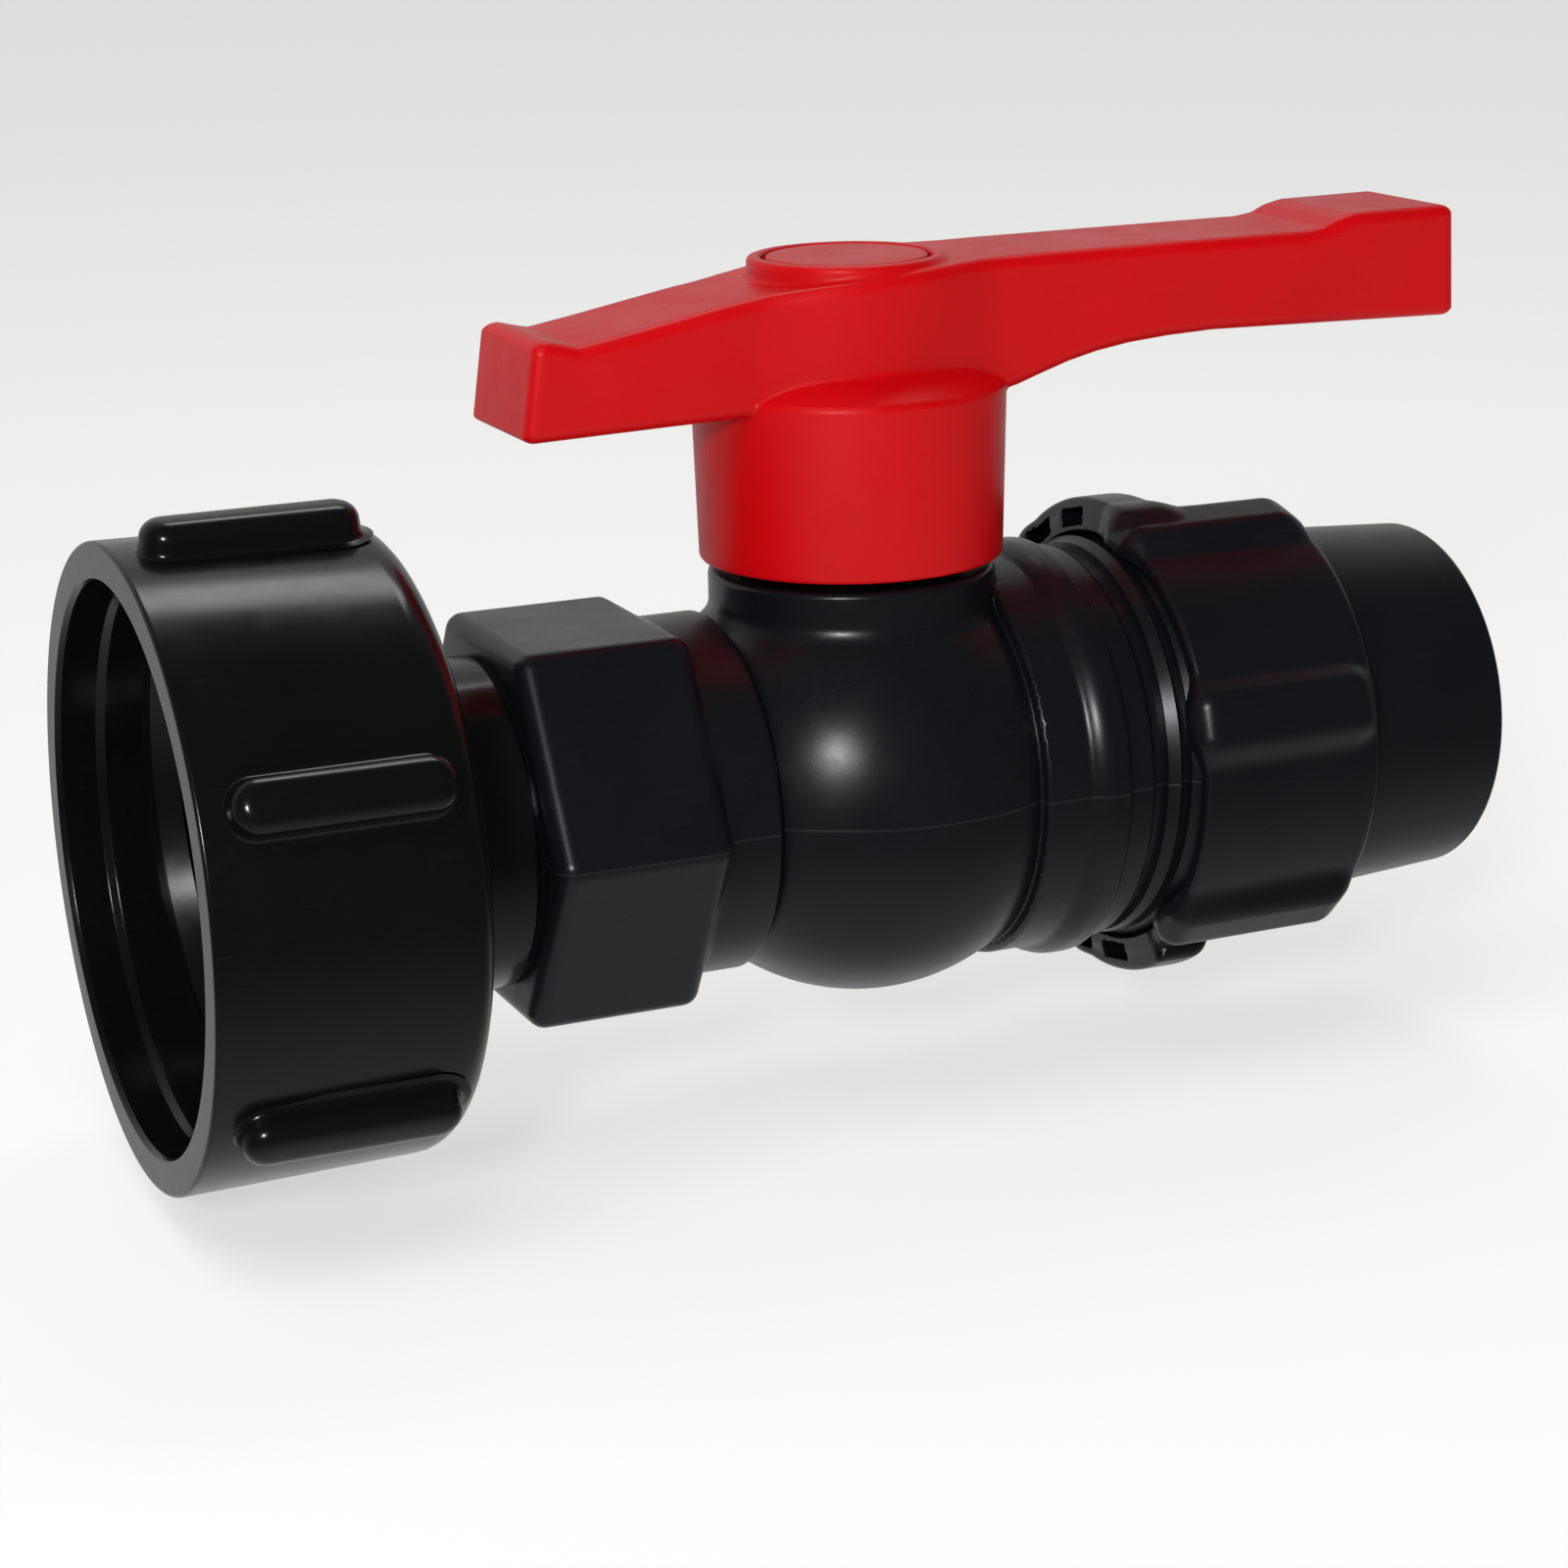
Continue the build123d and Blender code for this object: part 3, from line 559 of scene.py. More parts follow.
def gripLug(name, lug):
    # rings of a rounded rectangle, from a skirt just under the shell's surface up to the crown
    foot, crown, g = lug["foot"], lug["crown"], lugRings
    rise = lug["top"] - lug["shell"]
    rings = [(g["skirtIn"] - foot, -lug["root"]), (foot + g["skirtOut"], -g["skirtSink"])]
    for a in np.radians(g["footAngles"]):
        rings.append((foot - foot * math.sin(a), foot - foot * math.cos(a)))
    for a in np.radians(g["crownAngles"]):
        rings.append((
            -crown - g["crownIn"] + crown * math.cos(a), rise - crown + crown * math.sin(a)))
    rings.append((-lug["width"] / 2 + g["topIn"], rise + g["topRise"]))
    halfLong, halfWide = (lug["end"] - lug["start"]) / 2, lug["width"] / 2
    centre = (lug["start"] + lug["end"]) / 2
    points, faces, perCorner = [], [], g["perCorner"]
    for grow, height in rings:
        corner = max(lug["cornerRadius"] + grow, 0.05)
        for quarter in range(4):
            sx, sy = [(1, 1), (-1, 1), (-1, -1), (1, -1)][quarter]
            for step in range(perCorner):
                a = math.pi / 2 * (quarter + step / (perCorner - 1))
                x = centre + sx * (halfLong + grow - corner) + corner * math.cos(a)
                across = sy * (halfWide + grow - corner) + corner * math.sin(a)
                angle, radius = across / lug["shell"], lug["shell"] + height
                points.append((x, -radius * math.cos(angle), radius * math.sin(angle)))
    size = 4 * perCorner
    for ring in range(len(rings) - 1):
        for i in range(size):
            j = (i + 1) % size
            low, high = ring * size, (ring + 1) * size
            faces.append((low + i, low + j, high + j, high + i))
    faces.append(tuple(reversed(range(size))))
    faces.append(tuple(range((len(rings) - 1) * size, len(rings) * size)))
    mesh = bpy.data.meshes.new(name)
    mesh.from_pydata([Vector(p) * mm for p in points], [], faces)
    faceOutwards(mesh)
    return addPiece(name, mesh)


# Tank adapter.

adapter = {
    "columns": 192, "capRadius": 35.0, "backRadius": 34.5, "capLength": 30.2, "backRounding": 4.0,
    "rimRounding": 0.45, "mouthRadius": 30.8, "mouthDepth": 4.6, "rootRadius": 30.3,
    "cupDepth": 26.6, "floorRounding": 1.5, "neckRadius": 18.4, "neckEnd": 39.9,
    "shoulderRadius": 17.5, "shoulderEnd": 42.0,
    "nippleRadius": 16.5, "nippleEnd": 57.0, "boreRadius": 12.5,
    "lugCount": 6, "firstLug": 24.0, "lugStart": 2.9, "lugEnd": 26.6, "lugWidth": 5.9,
    "lugTop": 38.25, "lugFoot": 0.8, "lugCrown": 2.0,
    "lugSink": 0.15, "lugRoot": 1.5,
    "threadPitch": 6.0, "threadTurns": 3.0, "threadStart": 7.4, "threadCrest": 28.0,
    "threadSink": 0.4, "threadRootWidth": 3.9, "threadCrestWidth": 1.6, "threadSteps": 120,
}


def makeTankAdapter(a):
    shell = turnedShell("tankAdapter", [
        (0.0, a["mouthRadius"] + 0.3, 0.25),
        (0.0, a["capRadius"], a["rimRounding"]),
        (a["capLength"], a["backRadius"], a["backRounding"]),
        (a["capLength"], a["neckRadius"], 0.8),
        (a["neckEnd"], a["neckRadius"], 0.3),
        (a["neckEnd"], a["shoulderRadius"], 0.2),
        (a["shoulderEnd"], a["shoulderRadius"], 0.2),
        (a["shoulderEnd"], a["nippleRadius"], 0.2),
        (a["nippleEnd"], a["nippleRadius"], 0.8),
        (a["nippleEnd"], a["boreRadius"], 0.5),
        (a["cupDepth"], a["boreRadius"], 0.6),
        (a["cupDepth"], a["rootRadius"], a["floorRounding"]),
        (a["mouthDepth"] + 0.9, a["rootRadius"], 0.3),
        (a["mouthDepth"], a["mouthRadius"], 0.3),
        (0.6, a["mouthRadius"], 0.3),
    ], a["columns"])
    lug = gripLug("adapterLug", {
        "shell": a["capRadius"] - a["lugSink"], "top": a["lugTop"], "root": a["lugRoot"],
        "start": a["lugStart"],
        "end": a["lugEnd"], "width": a["lugWidth"], "cornerRadius": a["lugWidth"] / 2,
        "foot": a["lugFoot"], "crown": a["lugCrown"]})
    growOn(shell, lugRing, {
        "Lug": lug, "Count": a["lugCount"], "First Angle": math.radians(a["firstLug"]),
        "Material": blackPolypropylene})
    depth = a["rootRadius"] - a["threadCrest"] + a["threadSink"]
    growThread(shell, {
        "start": a["threadStart"], "pitch": a["threadPitch"], "turns": a["threadTurns"],
        "radius": a["threadCrest"] + depth / 2, "depth": depth, "rootWidth": a["threadRootWidth"],
        "crestWidth": a["threadCrestWidth"], "steps": a["threadSteps"]}, blackPolypropylene)
    bakeShape(shell)
    bpy.data.objects.remove(lug)
    finishPiece(shell, blackPolypropylene, "valve", "adapter_black", "tank_adapter")


makeTankAdapter(adapter)


# Valve body.

body = {
    "step": 0.66, "fineStep": 0.42, "creaseStep": 0.36, "creaseBand": (99.0, 103.2),
    "collarBand": (103.2, 112.2), "margin": 26.2,
    "hexStart": 40.4, "hexEnd": 60.4, "hexCorner": 24.2, "hexEdge": 2.2,
    "hexEndEdge": 2.0, "neckRadius": 20.3, "neckEnd": 67.3, "shellRadius": 25.2,
    "bossRadius": 16.2, "bossTop": 24.3, "bossFillet": 0.9, "bonnetRadius": 12.4, "bonnetTop": 37.5,
    "collarFoot": (101.0, 20.2), "collarEdge": (104.4, 24.4), "collarEnd": 108.0,
    "ringRadius": 23.2, "ringEnd": 111.5, "rootRadius": 22.2, "bodyEnd": 127.2,
    "socketRadius": 16.56, "socketEnd": 58.5, "boreRadius": 12.5, "seatRadius": 16.15,
    "seatBack": 16.25, "chamberRadius": 19.0, "stemBore": 7.05, "flangeRadius": 9.75,
    "flangeTop": 22.95, "stopRadius": 14.4, "stopBottom": 26.5, "stopTop": 34.0,
    "stopMiddles": (45.0, 225.0), "stopHalfAngle": 20.0,
    "towerFoot": 8.0, "ringFoot": 98.0, "stemFoot": 12.0,
    "neckEdge": 0.6, "bossEdge": 0.8, "bonnetEdge": 0.6, "stopEdge": 0.4, "collarSlopeEdge": 1.2,
    "collarEndEdge": 0.6, "ringEdge": 0.4, "spigotEdge": 0.5, "hollowEdge": 0.4,
    "neckJoin": 0.5, "shellJoin": 0.35, "collarJoin": 1.5, "bonnetJoin": 0.5, "ringJoin": 0.35,
}
bodyThread = {
    "start": 113.0, "pitch": 3.0, "turns": 4.3, "radius": 22.6, "depth": 1.2, "rootWidth": 2.3,
    "crestWidth": 1.0, "steps": 120,
}


def sector(x, y, middle, half):
    # distance outside a wedge of angle about the stem
    away = np.degrees(np.arctan2(y, x)) - middle
    away = np.abs((away + 180) % 360 - 180) - half
    return np.hypot(x, y) * np.sin(np.radians(np.clip(away, -90, 90)))


def bodyField(x, y, z):
    b = body
    u, rho = x - stemX, np.hypot(y, z)
    tower, ball = np.hypot(u, y), np.sqrt(u * u + y * y + z * z)
    flat = b["hexCorner"] * math.sqrt(3) / 2
    hexagon = roundMeet(hexagonDistance(y, z, flat, b["hexEdge"]),
                        slab(x, b["hexStart"], b["hexEnd"]), b["hexEndEdge"])
    neck = roundMeet(rho - b["neckRadius"], slab(x, b["hexEnd"] - 4, b["neckEnd"]), b["neckEdge"])
    boss = roundMeet(tower - b["bossRadius"], slab(z, b["towerFoot"], b["bossTop"]), b["bossEdge"])
    bonnet = roundMeet(tower - b["bonnetRadius"], slab(z, b["towerFoot"], b["bonnetTop"]),
                       b["bonnetEdge"])
    for middle in b["stopMiddles"]:
        stop = np.maximum(sector(u, y, middle, b["stopHalfAngle"]), tower - b["stopRadius"])
        stop = roundMeet(stop, slab(z, b["stopBottom"], b["stopTop"]), b["stopEdge"])
        bonnet = roundJoin(bonnet, stop, b["stopEdge"])
    collar = roundMeet(rho - b["collarEdge"][1], sloped(x, rho, b["collarFoot"], b["collarEdge"]),
                       b["collarSlopeEdge"])
    collar = roundMeet(collar, x - b["collarEnd"], b["collarEndEdge"])
    ring = roundMeet(rho - b["ringRadius"], slab(x, b["ringFoot"], b["ringEnd"]), b["ringEdge"])
    spigot = roundMeet(rho - b["rootRadius"], slab(x, b["ringFoot"], b["bodyEnd"]), b["spigotEdge"])
    outside = roundJoin(hexagon, neck, b["neckJoin"])
    outside = roundJoin(outside, ball - b["shellRadius"], b["shellJoin"])
    outside = roundJoin(outside, collar, b["collarJoin"])
    outside = roundJoin(outside, boss, b["bossFillet"])
    outside = roundJoin(outside, bonnet, b["bonnetJoin"])
    outside = roundJoin(roundJoin(outside, ring, b["ringJoin"]), spigot, b["ringJoin"])
    cuts = [
        np.maximum(rho - b["boreRadius"], x - stemX),
        np.maximum(rho - b["seatRadius"], slab(u, -b["seatBack"], 0)),
        ball - b["chamberRadius"],
        np.maximum(rho - b["chamberRadius"], -u),
        np.maximum(tower - b["stemBore"], b["stemFoot"] - z),
        np.maximum(tower - b["flangeRadius"], slab(z, b["stemFoot"], b["flangeTop"])),
    ]
    hollow = np.maximum(rho - b["socketRadius"], x - b["socketEnd"])
    for cut in cuts:
        hollow = np.minimum(hollow, cut)
    return roundMeet(outside, -hollow, b["hollowEdge"])


def makeValveBody(b):
    # the first lines are offset a little so that none lies along a flat face
    step, fine = b["step"], b["fineStep"]
    xs = gridLines(b["hexStart"] - 0.73, b["bodyEnd"] + 1, step, [
        (b["hexStart"] - 0.8, b["hexStart"] + 3, fine), (b["hexEnd"] - 3, b["hexEnd"] + 1, fine),
        (b["neckEnd"] - 1, b["neckEnd"] + 0.6, fine), (*b["creaseBand"], b["creaseStep"]),
        (*b["collarBand"], fine)])
    ys = gridLines(-26.13, b["margin"], step)
    zs = gridLines(-26.17, b["bonnetTop"] + 1, step, [
        (b["bossTop"] - 1, b["bossTop"] + 0.4, fine)])
    finishPiece(skinField("valveBody", bodyField, xs, ys, zs), bodyPvc, "valve",
                "body_graphite", "valve_body")
    ridge = addPiece("bodyThread", bpy.data.meshes.new("bodyThread"))
    growThread(ridge, bodyThread, bodyPvc)
    bakeShape(ridge)
    finishPiece(ridge, bodyPvc, "valve", "body_graphite")


makeValveBody(body)


# Handle.

handle = {
    "step": 0.55, "halfWidth": 9.0, "edge": 1.4, "endEdge": 1.9, "shortArm": 40.0, "longArm": 74.0,
    "hubRadius": 10.9, "hubBlend": 7.0,
    "cupBottom": 25.4, "cupBottomRadius": 17.1, "cupTop": 44.0, "cupTopRadius": 17.6,
    "domeRadius": 33.7, "domeCentre": 16.0, "domeFlat": 47.7, "cupInside": 15.0, "cupCeiling": 40.2,
    "discRadius": 11.1, "discBottom": 54.5, "discTop": 59.0, "recessRadius": 9.5,
    "recessFloor": 56.6,
    "headRadius": 5.2, "headFloor": 52.6, "square": 9.1, "stemTop": 50.8, "screwHole": 2.3,
    "wall": 2.6, "ribInside": 12.8, "ribOutside": 16.0, "ribBottom": 26.5, "ribTop": 34.0,
    "ribHalfAngle": 24.0, "fineStep": 0.32,
    # the arms' ends lean: how far out each stands at leanFoot, and how much less leanRise higher up
    "leanFoot": 43.0, "leanRise": 10.4, "shortEnd": (1.9, 1.5), "longEnd": (0.6, 0.4),
    "pocketEnd": 3.0, "hubSide": (-19.5, 27.0), "web": (47.5, 49.5), "pocketRoofs": (50.0, 55.8),
    "pocketCorner": 1.0, "pocketRoofEdge": 0.8, "domeEdge": 1.5, "cupEdge": 0.5, "discEdge": 0.6,
    "discJoin": 0.5, "cupJoin": 0.35, "hollowEdge": 0.3,
}


def armOutline(h):
    # side view of the bar, from the lower end of the short arm, over the top and back
    short, long = -h["shortArm"], h["longArm"]
    return [
        (short - 2.2, 42.7), (short - 0.6, 53.4), (short + 1.8, 53.5), (short + 3.8, 53.0),
        (short + 5.2, 52.7),
        (-30.0, 53.5), (-24.0, 54.6), (-18.0, 55.7), (-12.0, 56.6), (-6.0, 57.3), (0.0, 57.9),
        (6.0, 58.3), (12.0, 58.5), (20.0, 58.6), (54.0, 58.6), (56.2, 58.9), (58.0, 59.7),
        (60.2, 60.2), (long + 0.2, 60.3), (long + 0.6, 47.4), (42.0, 48.2), (36.0, 48.0),
        (31.0, 47.6), (27.0, 47.0), (23.5, 46.2), (20.0, 45.1), (17.0, 44.1), (14.0, 43.4),
        (-14.0, 43.4),
    ]


def handleField(x, y, z):
    h = handle
    u, tower = x - stemX, np.hypot(x - stemX, y)
    profile = outlineDistance(u, z, armOutline(h))
    plan = roundJoin(np.abs(y) - h["halfWidth"], tower - h["hubRadius"], h["hubBlend"])
    bar = roundMeet(profile, plan, h["edge"])
    lean = (z - h["leanFoot"]) / h["leanRise"]
    (shortOut, shortLean), (longOut, longLean) = h["shortEnd"], h["longEnd"]
    bar = roundMeet(bar, -h["shortArm"] - shortOut + shortLean * lean - u, h["endEdge"])
    bar = roundMeet(bar, u - h["longArm"] - longOut + longLean * lean, h["endEdge"])
    wall = sloped(z, tower, (h["cupBottom"], h["cupBottomRadius"]),
                  (h["cupTop"], h["cupTopRadius"]))
    dome = np.sqrt(tower ** 2 + (z - h["domeCentre"]) ** 2) - h["domeRadius"]
    dome = roundMeet(dome, z - h["domeFlat"], h["domeEdge"])
    cup = roundMeet(roundMeet(wall, dome, h["cupEdge"]), h["cupBottom"] - z, h["cupEdge"])
    disc = roundMeet(tower - h["discRadius"], slab(z, h["discBottom"], h["discTop"]), h["discEdge"])
    solid = roundJoin(bar, disc, h["discJoin"])
    solid = roundJoin(solid, cup, h["cupJoin"])
    inside = h["halfWidth"] - h["wall"]
    shortRoof, longRoof = h["pocketRoofs"]
    pockets = [
        (-h["shortArm"] + h["pocketEnd"], h["hubSide"][0], shortRoof),
        (h["hubSide"][1], h["web"][0], longRoof),
        (h["web"][1], h["longArm"] - h["pocketEnd"], longRoof)]
    hollow = np.maximum(tower - h["cupInside"], z - h["cupCeiling"])
    for start, end, roof in pockets:
        hollow = np.minimum(hollow, roundMeet(
            roundMeet(slab(u, start, end), np.abs(y) - inside, h["pocketCorner"]),
            z - roof, h["pocketRoofEdge"]))
    hollow = np.minimum(hollow, np.maximum(tower - h["recessRadius"], h["recessFloor"] - z))
    hollow = np.minimum(hollow, np.maximum(tower - h["headRadius"], h["headFloor"] - z))
    half = h["square"] / 2
    socket = np.maximum(np.maximum(np.abs(u) - half, np.abs(y) - half), z - h["stemTop"])
    hollow = np.minimum(hollow, socket)
    hollow = np.minimum(hollow, tower - h["screwHole"])
    solid = roundMeet(solid, -hollow, h["hollowEdge"])
    for middle in (0.0, 180.0):
        rib = np.maximum(sector(u, y, middle, h["ribHalfAngle"]),
                         slab(tower, h["ribInside"], h["ribOutside"]))
        rib = roundMeet(rib, slab(z, h["ribBottom"], h["ribTop"]), h["hollowEdge"])
        solid = np.minimum(solid, rib)
    return solid


def makeHandle(h):
    step, fine = h["step"], h["fineStep"]
    xs = gridLines(stemX - h["shortArm"] - 1.9, stemX + h["longArm"] + 1.2, step, [
        (stemX - h["shortArm"] - 2, stemX - h["shortArm"] + 2, fine),
        (stemX + h["longArm"] - 2, stemX + h["longArm"] + 1, fine)])
    ys = gridLines(-18.4, 18.5, step, [(-10, -7.5, fine), (7.5, 10, fine)])
    zs = gridLines(h["cupBottom"] - 0.7, 61.4, step, [
        (h["cupBottom"] - 0.8, h["cupBottom"] + 0.6, fine), (43, 45, fine), (57.5, 61.4, fine)])
    finishPiece(skinField("handleLever", handleField, xs, ys, zs), redPolypropylene, "operator",
                "handle_red", "handle")


makeHandle(handle)

handleCap = {
    "columns": 96, "skirtRadius": 9.46, "radius": 9.0, "bottom": 56.62, "step": 58.0, "top": 58.95,
    "dish": 0.12, "hole": 0.05, "edge": 0.1, "topEdge": 0.3,
}


def makeHandleCap(c):
    # plain snap-in disc, its face dished a little
    outline = roundedOutline([
        (c["bottom"], c["hole"]), (c["bottom"], c["skirtRadius"], c["edge"]),
        (c["step"], c["skirtRadius"], c["edge"]), (c["step"], c["radius"], c["edge"]),
        (c["top"], c["radius"], c["topEdge"]), (c["top"] - c["dish"], c["hole"])])
    angles = np.arange(c["columns"]) * 2 * math.pi / c["columns"]
    points = [(stemX + r * math.cos(a), r * math.sin(a), z) for z, r in outline for a in angles]
    count, faces = c["columns"], []
    for i in range(len(outline)):
        for j in range(count):
            below, above = i * count, ((i + 1) % len(outline)) * count
            k = (j + 1) % count
            faces.append((below + j, below + k, above + k, above + j))
    mesh = bpy.data.meshes.new("handleCap")
    mesh.from_pydata([Vector(p) * mm for p in points], [], faces)
    faceOutwards(mesh)
    piece = addPiece("handleCap", mesh)
    bakeShape(piece)
    finishPiece(piece, redPolypropylene, "operator", "handle_red", "handle_cap")


makeHandleCap(handleCap)


# Union nut.

nut = {
    "step": 0.46, "start": 116.6, "end": 140.0, "radius": 26.0, "endRadius": 25.4,
    "startEdge": 0.7, "endEdge": 1.6, "mouthRadius": 24.1, "rootRadius": 24.3, "seat": 131.2,
    "holeRadius": 22.35, "lugCount": 6, "firstLug": 16.0, "lugTop": 27.6, "lugWidth": 7.2,
    "lugStart": 115.4, "lugEnd": 138.4, "lugEdge": 1.9, "lugEndEdge": 2.6, "lugFillet": 2.4,
    "earRadius": 28.1, "earLength": 7.4, "ears": ((106.0, 30.0), (-80.0, 24.0)),
    "pocketAngles": (104.0, 123.0, -79.5, -98.5), "pocketRadii": (24.8, 26.8),
    "pocketWidth": 5.4, "pocketDepth": 4.0, "mouthDepth": 1.2, "fineStep": 0.32,
    "earEndEdge": 3.0, "earStartEdge": 0.6, "earSideEdge": 1.5, "earJoin": 1.0,
    "hollowEdge": 0.35, "pocketCorner": 0.2,
}
nutThread = {
    "start": 118.9, "pitch": 3.0, "turns": 3.8, "radius": 24.1, "depth": 1.0, "rootWidth": 2.2,
    "crestWidth": 1.0, "steps": 120,
}


def nutField(x, y, z):
    n = nut
    rho, angle = np.hypot(y, z), np.degrees(np.arctan2(z, -y))
    wall = roundMeet(sloped(x, rho, (n["start"], n["radius"]), (n["end"], n["endRadius"])),
                     x - n["end"], n["endEdge"])
    wall = roundMeet(wall, n["start"] - x, n["startEdge"])
    spacing = 360 / n["lugCount"]
    off = np.radians((angle - n["firstLug"] + spacing / 2) % spacing - spacing / 2)
    across, out = rho * np.sin(off), rho * np.cos(off)
    lug = roundMeet(np.abs(across) - n["lugWidth"] / 2, out - n["lugTop"], n["lugEdge"])
    lug = roundMeet(lug, slab(x, n["lugStart"], n["lugEnd"]), n["lugEndEdge"])
    for middle, half in n["ears"]:
        ear = roundMeet(rho - n["earRadius"], x - n["start"] - n["earLength"], n["earEndEdge"])
        ear = roundMeet(ear, n["start"] - x, n["earStartEdge"])
        ear = roundMeet(ear, sector(-y, z, middle, half), n["earSideEdge"])
        wall = roundJoin(wall, ear, n["earJoin"])
    solid = roundJoin(wall, lug, n["lugFillet"])
    hollow = np.maximum(rho - n["mouthRadius"], x - n["start"] - n["mouthDepth"])
    hollow = np.minimum(hollow, np.maximum(
        rho - n["rootRadius"], slab(x, n["start"] + n["mouthDepth"], n["seat"])))
    hollow = np.minimum(hollow, rho - n["holeRadius"])
    solid = roundMeet(solid, -hollow, n["hollowEdge"])
    inner, outer = n["pocketRadii"]
    for middle in n["pocketAngles"]:
        turn = np.radians(angle - middle)
        out, across = rho * np.cos(turn), rho * np.sin(turn)
        pocket = roundMeet(slab(out, inner, outer), np.abs(across) - n["pocketWidth"] / 2,
                           n["pocketCorner"])
        solid = np.maximum(solid, -np.maximum(pocket, x - n["start"] - n["pocketDepth"]))
    return solid


def makeUnionNut(n):
    step, fine = n["step"], n["fineStep"]
    xs = gridLines(n["lugStart"] - 0.6, n["end"] + 0.8, step, [
        (n["lugStart"] - 0.7, n["start"] + 1, fine), (n["end"] - 1.5, n["end"] + 1, fine)])
    ys = gridLines(-29.1, 29.3, step)
    zs = gridLines(-29.13, 29.3, step)
    finishPiece(skinField("unionNut", nutField, xs, ys, zs), nutPvc, "nut",
                "body_graphite", "union_nut")
    ridge = addPiece("nutThread", bpy.data.meshes.new("nutThread"))
    growThread(ridge, nutThread, nutPvc)
    bakeShape(ridge)
    finishPiece(ridge, nutPvc, "nut", "body_graphite")


makeUnionNut(nut)


# Tail.

tail = {
    "columns": 160, "start": 127.25, "flangeRadius": 23.1, "flangeEnd": 131.15, "rootRadius": 22.0,
    "nutEnd": 140.0, "end": 159.6, "endRadius": 20.7, "endRounding": 0.9, "socketRadius": 16.1,
    "socketDepth": 22.0, "boreRadius": 12.5, "grooveInside": 19.6, "grooveOutside": 21.9,
    "grooveDepth": 2.2, "leadIn": 1.2,
}


def makeTail(t):
    socketStart = t["end"] - t["socketDepth"]
    shell = turnedShell("tailPiece", [
        (t["start"], t["boreRadius"], 0.4), (t["start"], t["grooveInside"], 0.1),
        (t["start"] + t["grooveDepth"], t["grooveInside"], 0.2),
        (t["start"] + t["grooveDepth"], t["grooveOutside"], 0.2),
        (t["start"], t["grooveOutside"], 0.1), (t["start"], t["flangeRadius"], 0.3),
        (t["flangeEnd"], t["flangeRadius"], 0.3), (t["flangeEnd"], t["rootRadius"], 0.3),
        (t["nutEnd"], t["rootRadius"] - 0.1, 2.0), (t["end"], t["endRadius"], t["endRounding"]),
        (t["end"], t["socketRadius"] + t["leadIn"], 0.3),
        (t["end"] - t["leadIn"], t["socketRadius"], 0.3),
        (socketStart, t["socketRadius"], 0.3), (socketStart, t["boreRadius"], 0.5),
    ], t["columns"])
    bakeShape(shell)
    finishPiece(shell, nutPvc, "tail", "body_graphite", "tail_piece")


makeTail(tail)


# Pieces kept from the CAD.

record = frame["record"]
slotOf = {part["node"]: part["material_slot"] for part in record["subparts"]}
shownAsCad = [
    "adapter_gasket", "ball", "inlet_seat", "inlet_seat_ring", "outlet_seat", "outlet_seat_ring",
    "seat_carrier", "carrier_ring", "stem", "stem_ring_lower", "stem_ring_upper", "stem_washer",
    "handle_screw", "screw_washer", "face_ring",
]
for node in shownAsCad:
    piece = frame["nodes"][node]
    piece.data.materials.clear()
    piece.data.materials.append(slotMaterials[slotOf[node]])
print("inner pieces:", len(shownAsCad))


# Floor, light and camera.

studio = {
    "floorHeight": -38.6, "floorSize": 60000.0, "floorColour": "b4b4b2", "floorRoughness": 0.9,
    "floorGlow": 0.62,
    "frontDark": 0.05, "backPale": 0.5, "belowPale": 0.3,
    "lamps": [
        # name, centre, where it points, width, depth, watts, seen in reflections
        ("overhead softbox", (-250.0, -330.0, 820.0), (85.0, 0.0, 0.0), 600.0, 600.0, 4.0, False),
        ("overhead strip", (310.0, 370.0, 792.0), (85.0, 0.0, 0.0), 380.0, 200.0, 0.9, True),
        ("camera-side softbox", (-374.0, -693.0, 347.0), (85.0, 0.0, 0.0), 120.0, 120.0, 3.2, True),
    ],
}


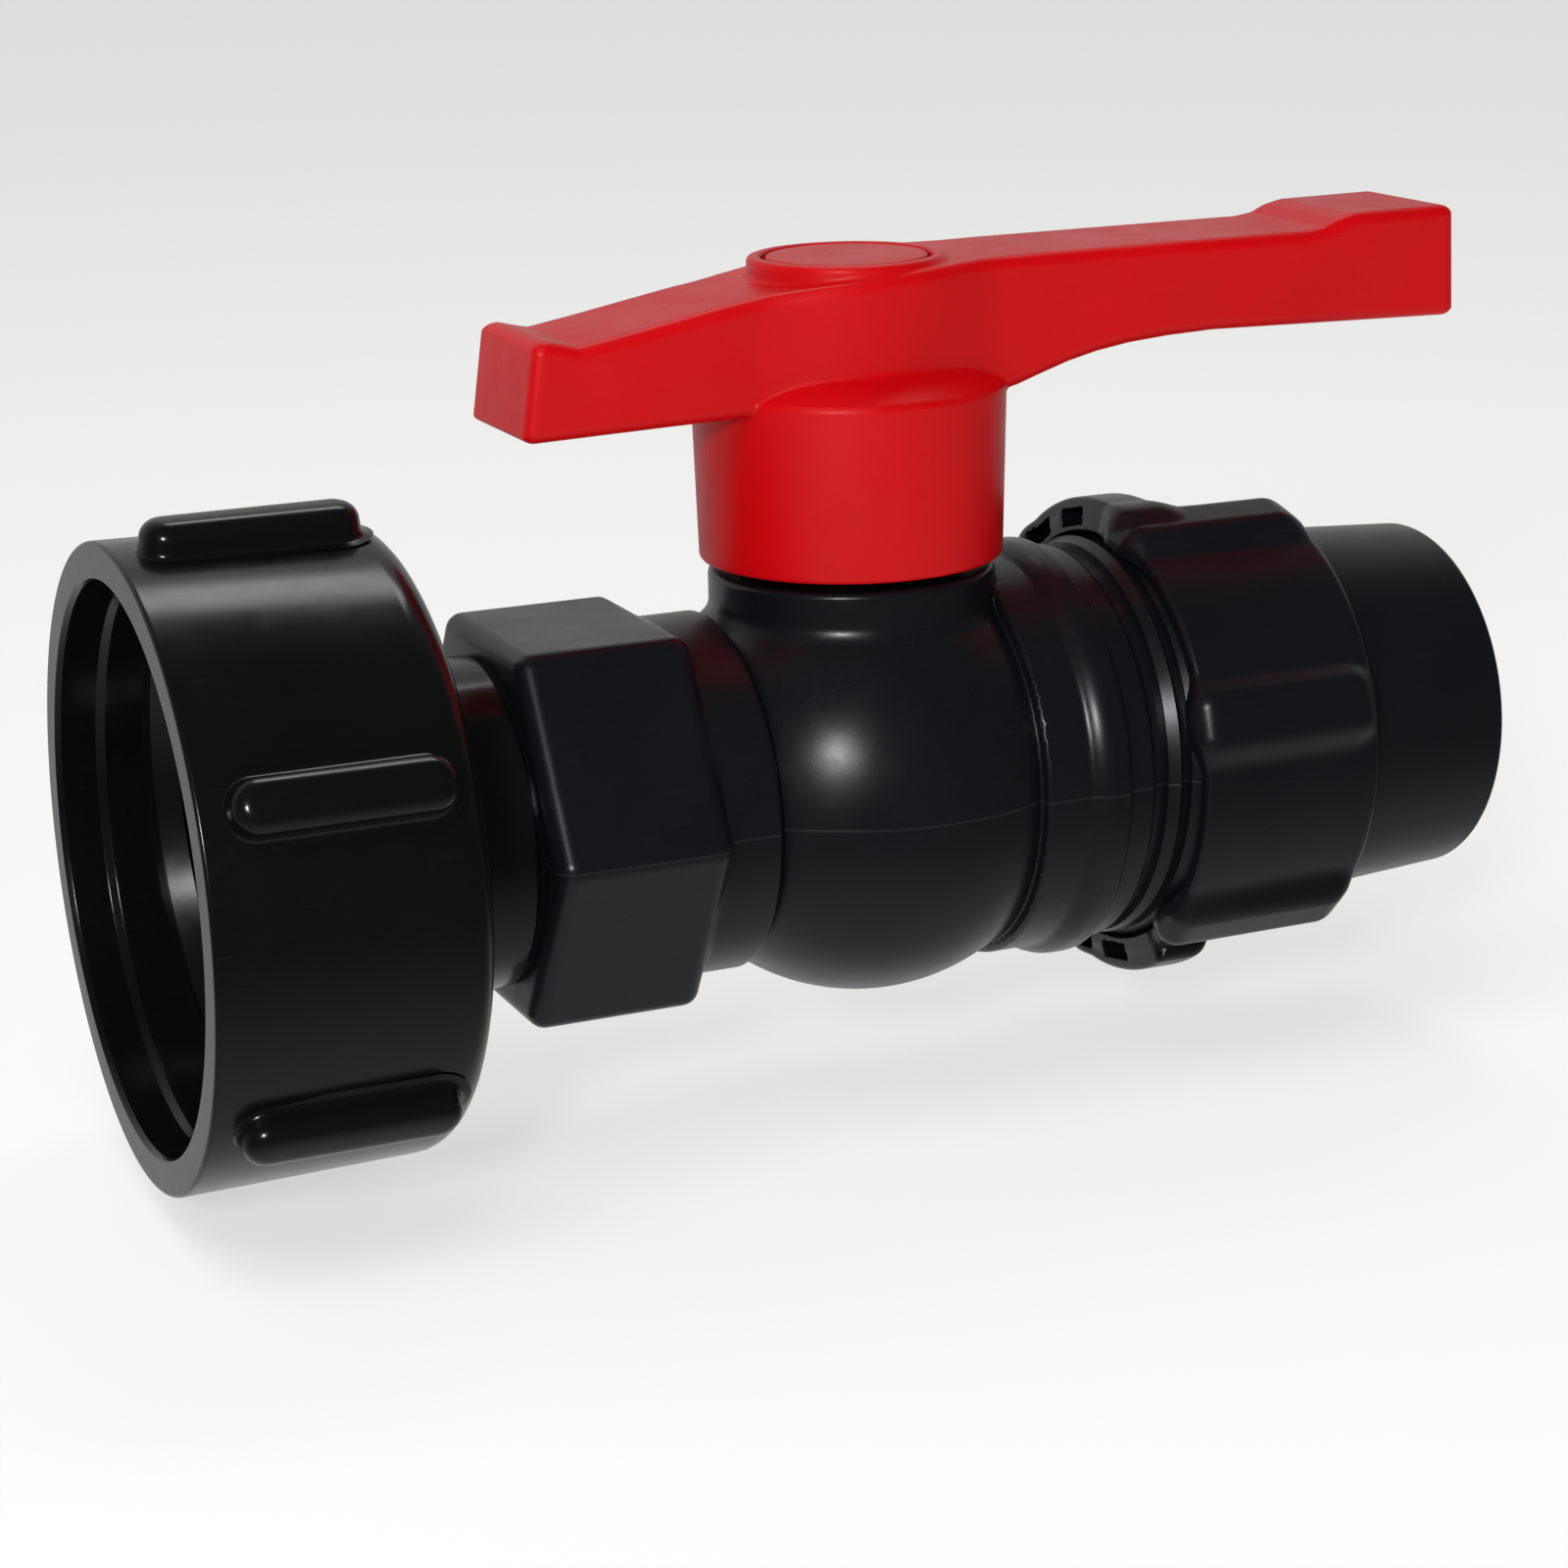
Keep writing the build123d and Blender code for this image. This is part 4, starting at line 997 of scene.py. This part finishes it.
def makeStudio(s):
    size, drop = s["floorSize"] * mm / 2, s["floorHeight"] * mm
    mesh = bpy.data.meshes.new("paleFloor")
    mesh.from_pydata([
        (-size, -size, drop), (size, -size, drop), (size, size, drop), (-size, size, drop)],
        [], [(0, 1, 2, 3)])
    floor = addPiece("paleFloor", mesh)
    material = bpy.data.materials.new("pale studio paper")
    material.use_nodes = True
    surface = material.node_tree.nodes["Principled BSDF"]
    surface.inputs["Base Color"].default_value = linearColour(s["floorColour"])
    surface.inputs["Roughness"].default_value = s["floorRoughness"]
    surface.inputs["Emission Color"].default_value = (1.0, 1.0, 0.99, 1.0)
    surface.inputs["Emission Strength"].default_value = s["floorGlow"]  # lit from below as well
    mesh.materials.append(material)
    floor.visible_glossy = False  # the dark plastics don't mirror the bright sheet
    world = bpy.data.worlds.new("studio air")
    world.use_nodes = True
    tree = world.node_tree
    # a pale backdrop behind the object, a dark room in front
    facing = addNode(tree, "ShaderNodeTexCoord").outputs["Generated"]
    parts = addNode(tree, "ShaderNodeSeparateXYZ", None, {0: facing})
    behind = addNode(tree, "ShaderNodeMapRange", {"interpolation_type": "SMOOTHSTEP"}, {
        "Value": parts.outputs["Y"], "From Min": -0.1, "From Max": 0.9, "To Min": s["frontDark"],
        "To Max": s["backPale"]})
    below = addNode(tree, "ShaderNodeMapRange", {"interpolation_type": "SMOOTHSTEP"}, {
        "Value": parts.outputs["Z"], "From Min": -0.25, "From Max": -1.0, "To Min": 0.0,
        "To Max": s["belowPale"]})
    shade = addNode(tree, "ShaderNodeMath", {"operation": "ADD"}, {
        0: behind.outputs[0], 1: below.outputs[0]})
    air = tree.nodes["Background"]
    air.inputs["Color"].default_value = (1.0, 1.0, 1.0, 1.0)
    tree.links.new(shade.outputs[0], air.inputs["Strength"])
    bpy.context.scene.view_settings.view_transform = "Standard"  # colours as they are
    bpy.context.scene.world = world
    for name, centre, target, width, depth, watts, mirrored in s["lamps"]:
        lamp = bpy.data.lights.new(name, "AREA")
        lamp.shape = "RECTANGLE"
        lamp.size, lamp.size_y = width * mm, depth * mm
        lamp.energy = watts
        holder = bpy.data.objects.new(name, lamp)
        bpy.context.scene.collection.objects.link(holder)
        holder.location = Vector(centre) * mm
        holder.visible_glossy = mirrored
        aim = Vector(target) - Vector(centre)
        holder.rotation_euler = aim.to_track_quat("-Z", "Y").to_euler()


makeStudio(studio)

camera = {
    "place": (-84.03, -368.8, 113.9), "azimuth": 23.48, "elevation": 15.9, "roll": -1.21,
    "lens": 84.37, "sensor": 36.0,
}


def makeCamera(c):
    az, el, roll = (math.radians(c[k]) for k in ("azimuth", "elevation", "roll"))
    ahead = Vector((math.sin(az) * math.cos(el), math.cos(az) * math.cos(el), -math.sin(el)))
    side = ahead.cross(Vector((0, 0, 1))).normalized()
    up = side.cross(ahead)
    right = side * math.cos(roll) + up * math.sin(roll)
    top = up * math.cos(roll) - side * math.sin(roll)
    data = bpy.data.cameras.new("camera")
    data.lens, data.sensor_width, data.sensor_height = c["lens"], c["sensor"], c["sensor"]
    data.clip_start, data.clip_end = 0.01, 100.0
    holder = bpy.data.objects.new("camera", data)
    bpy.context.scene.collection.objects.link(holder)
    turn = Matrix((right, top, -ahead)).transposed().to_4x4()
    holder.matrix_world = Matrix.Translation(Vector(c["place"]) * mm) @ turn
    bpy.context.scene.camera = holder


makeCamera(camera)
print("studio and camera ready")

bpy.context.view_layer.update()
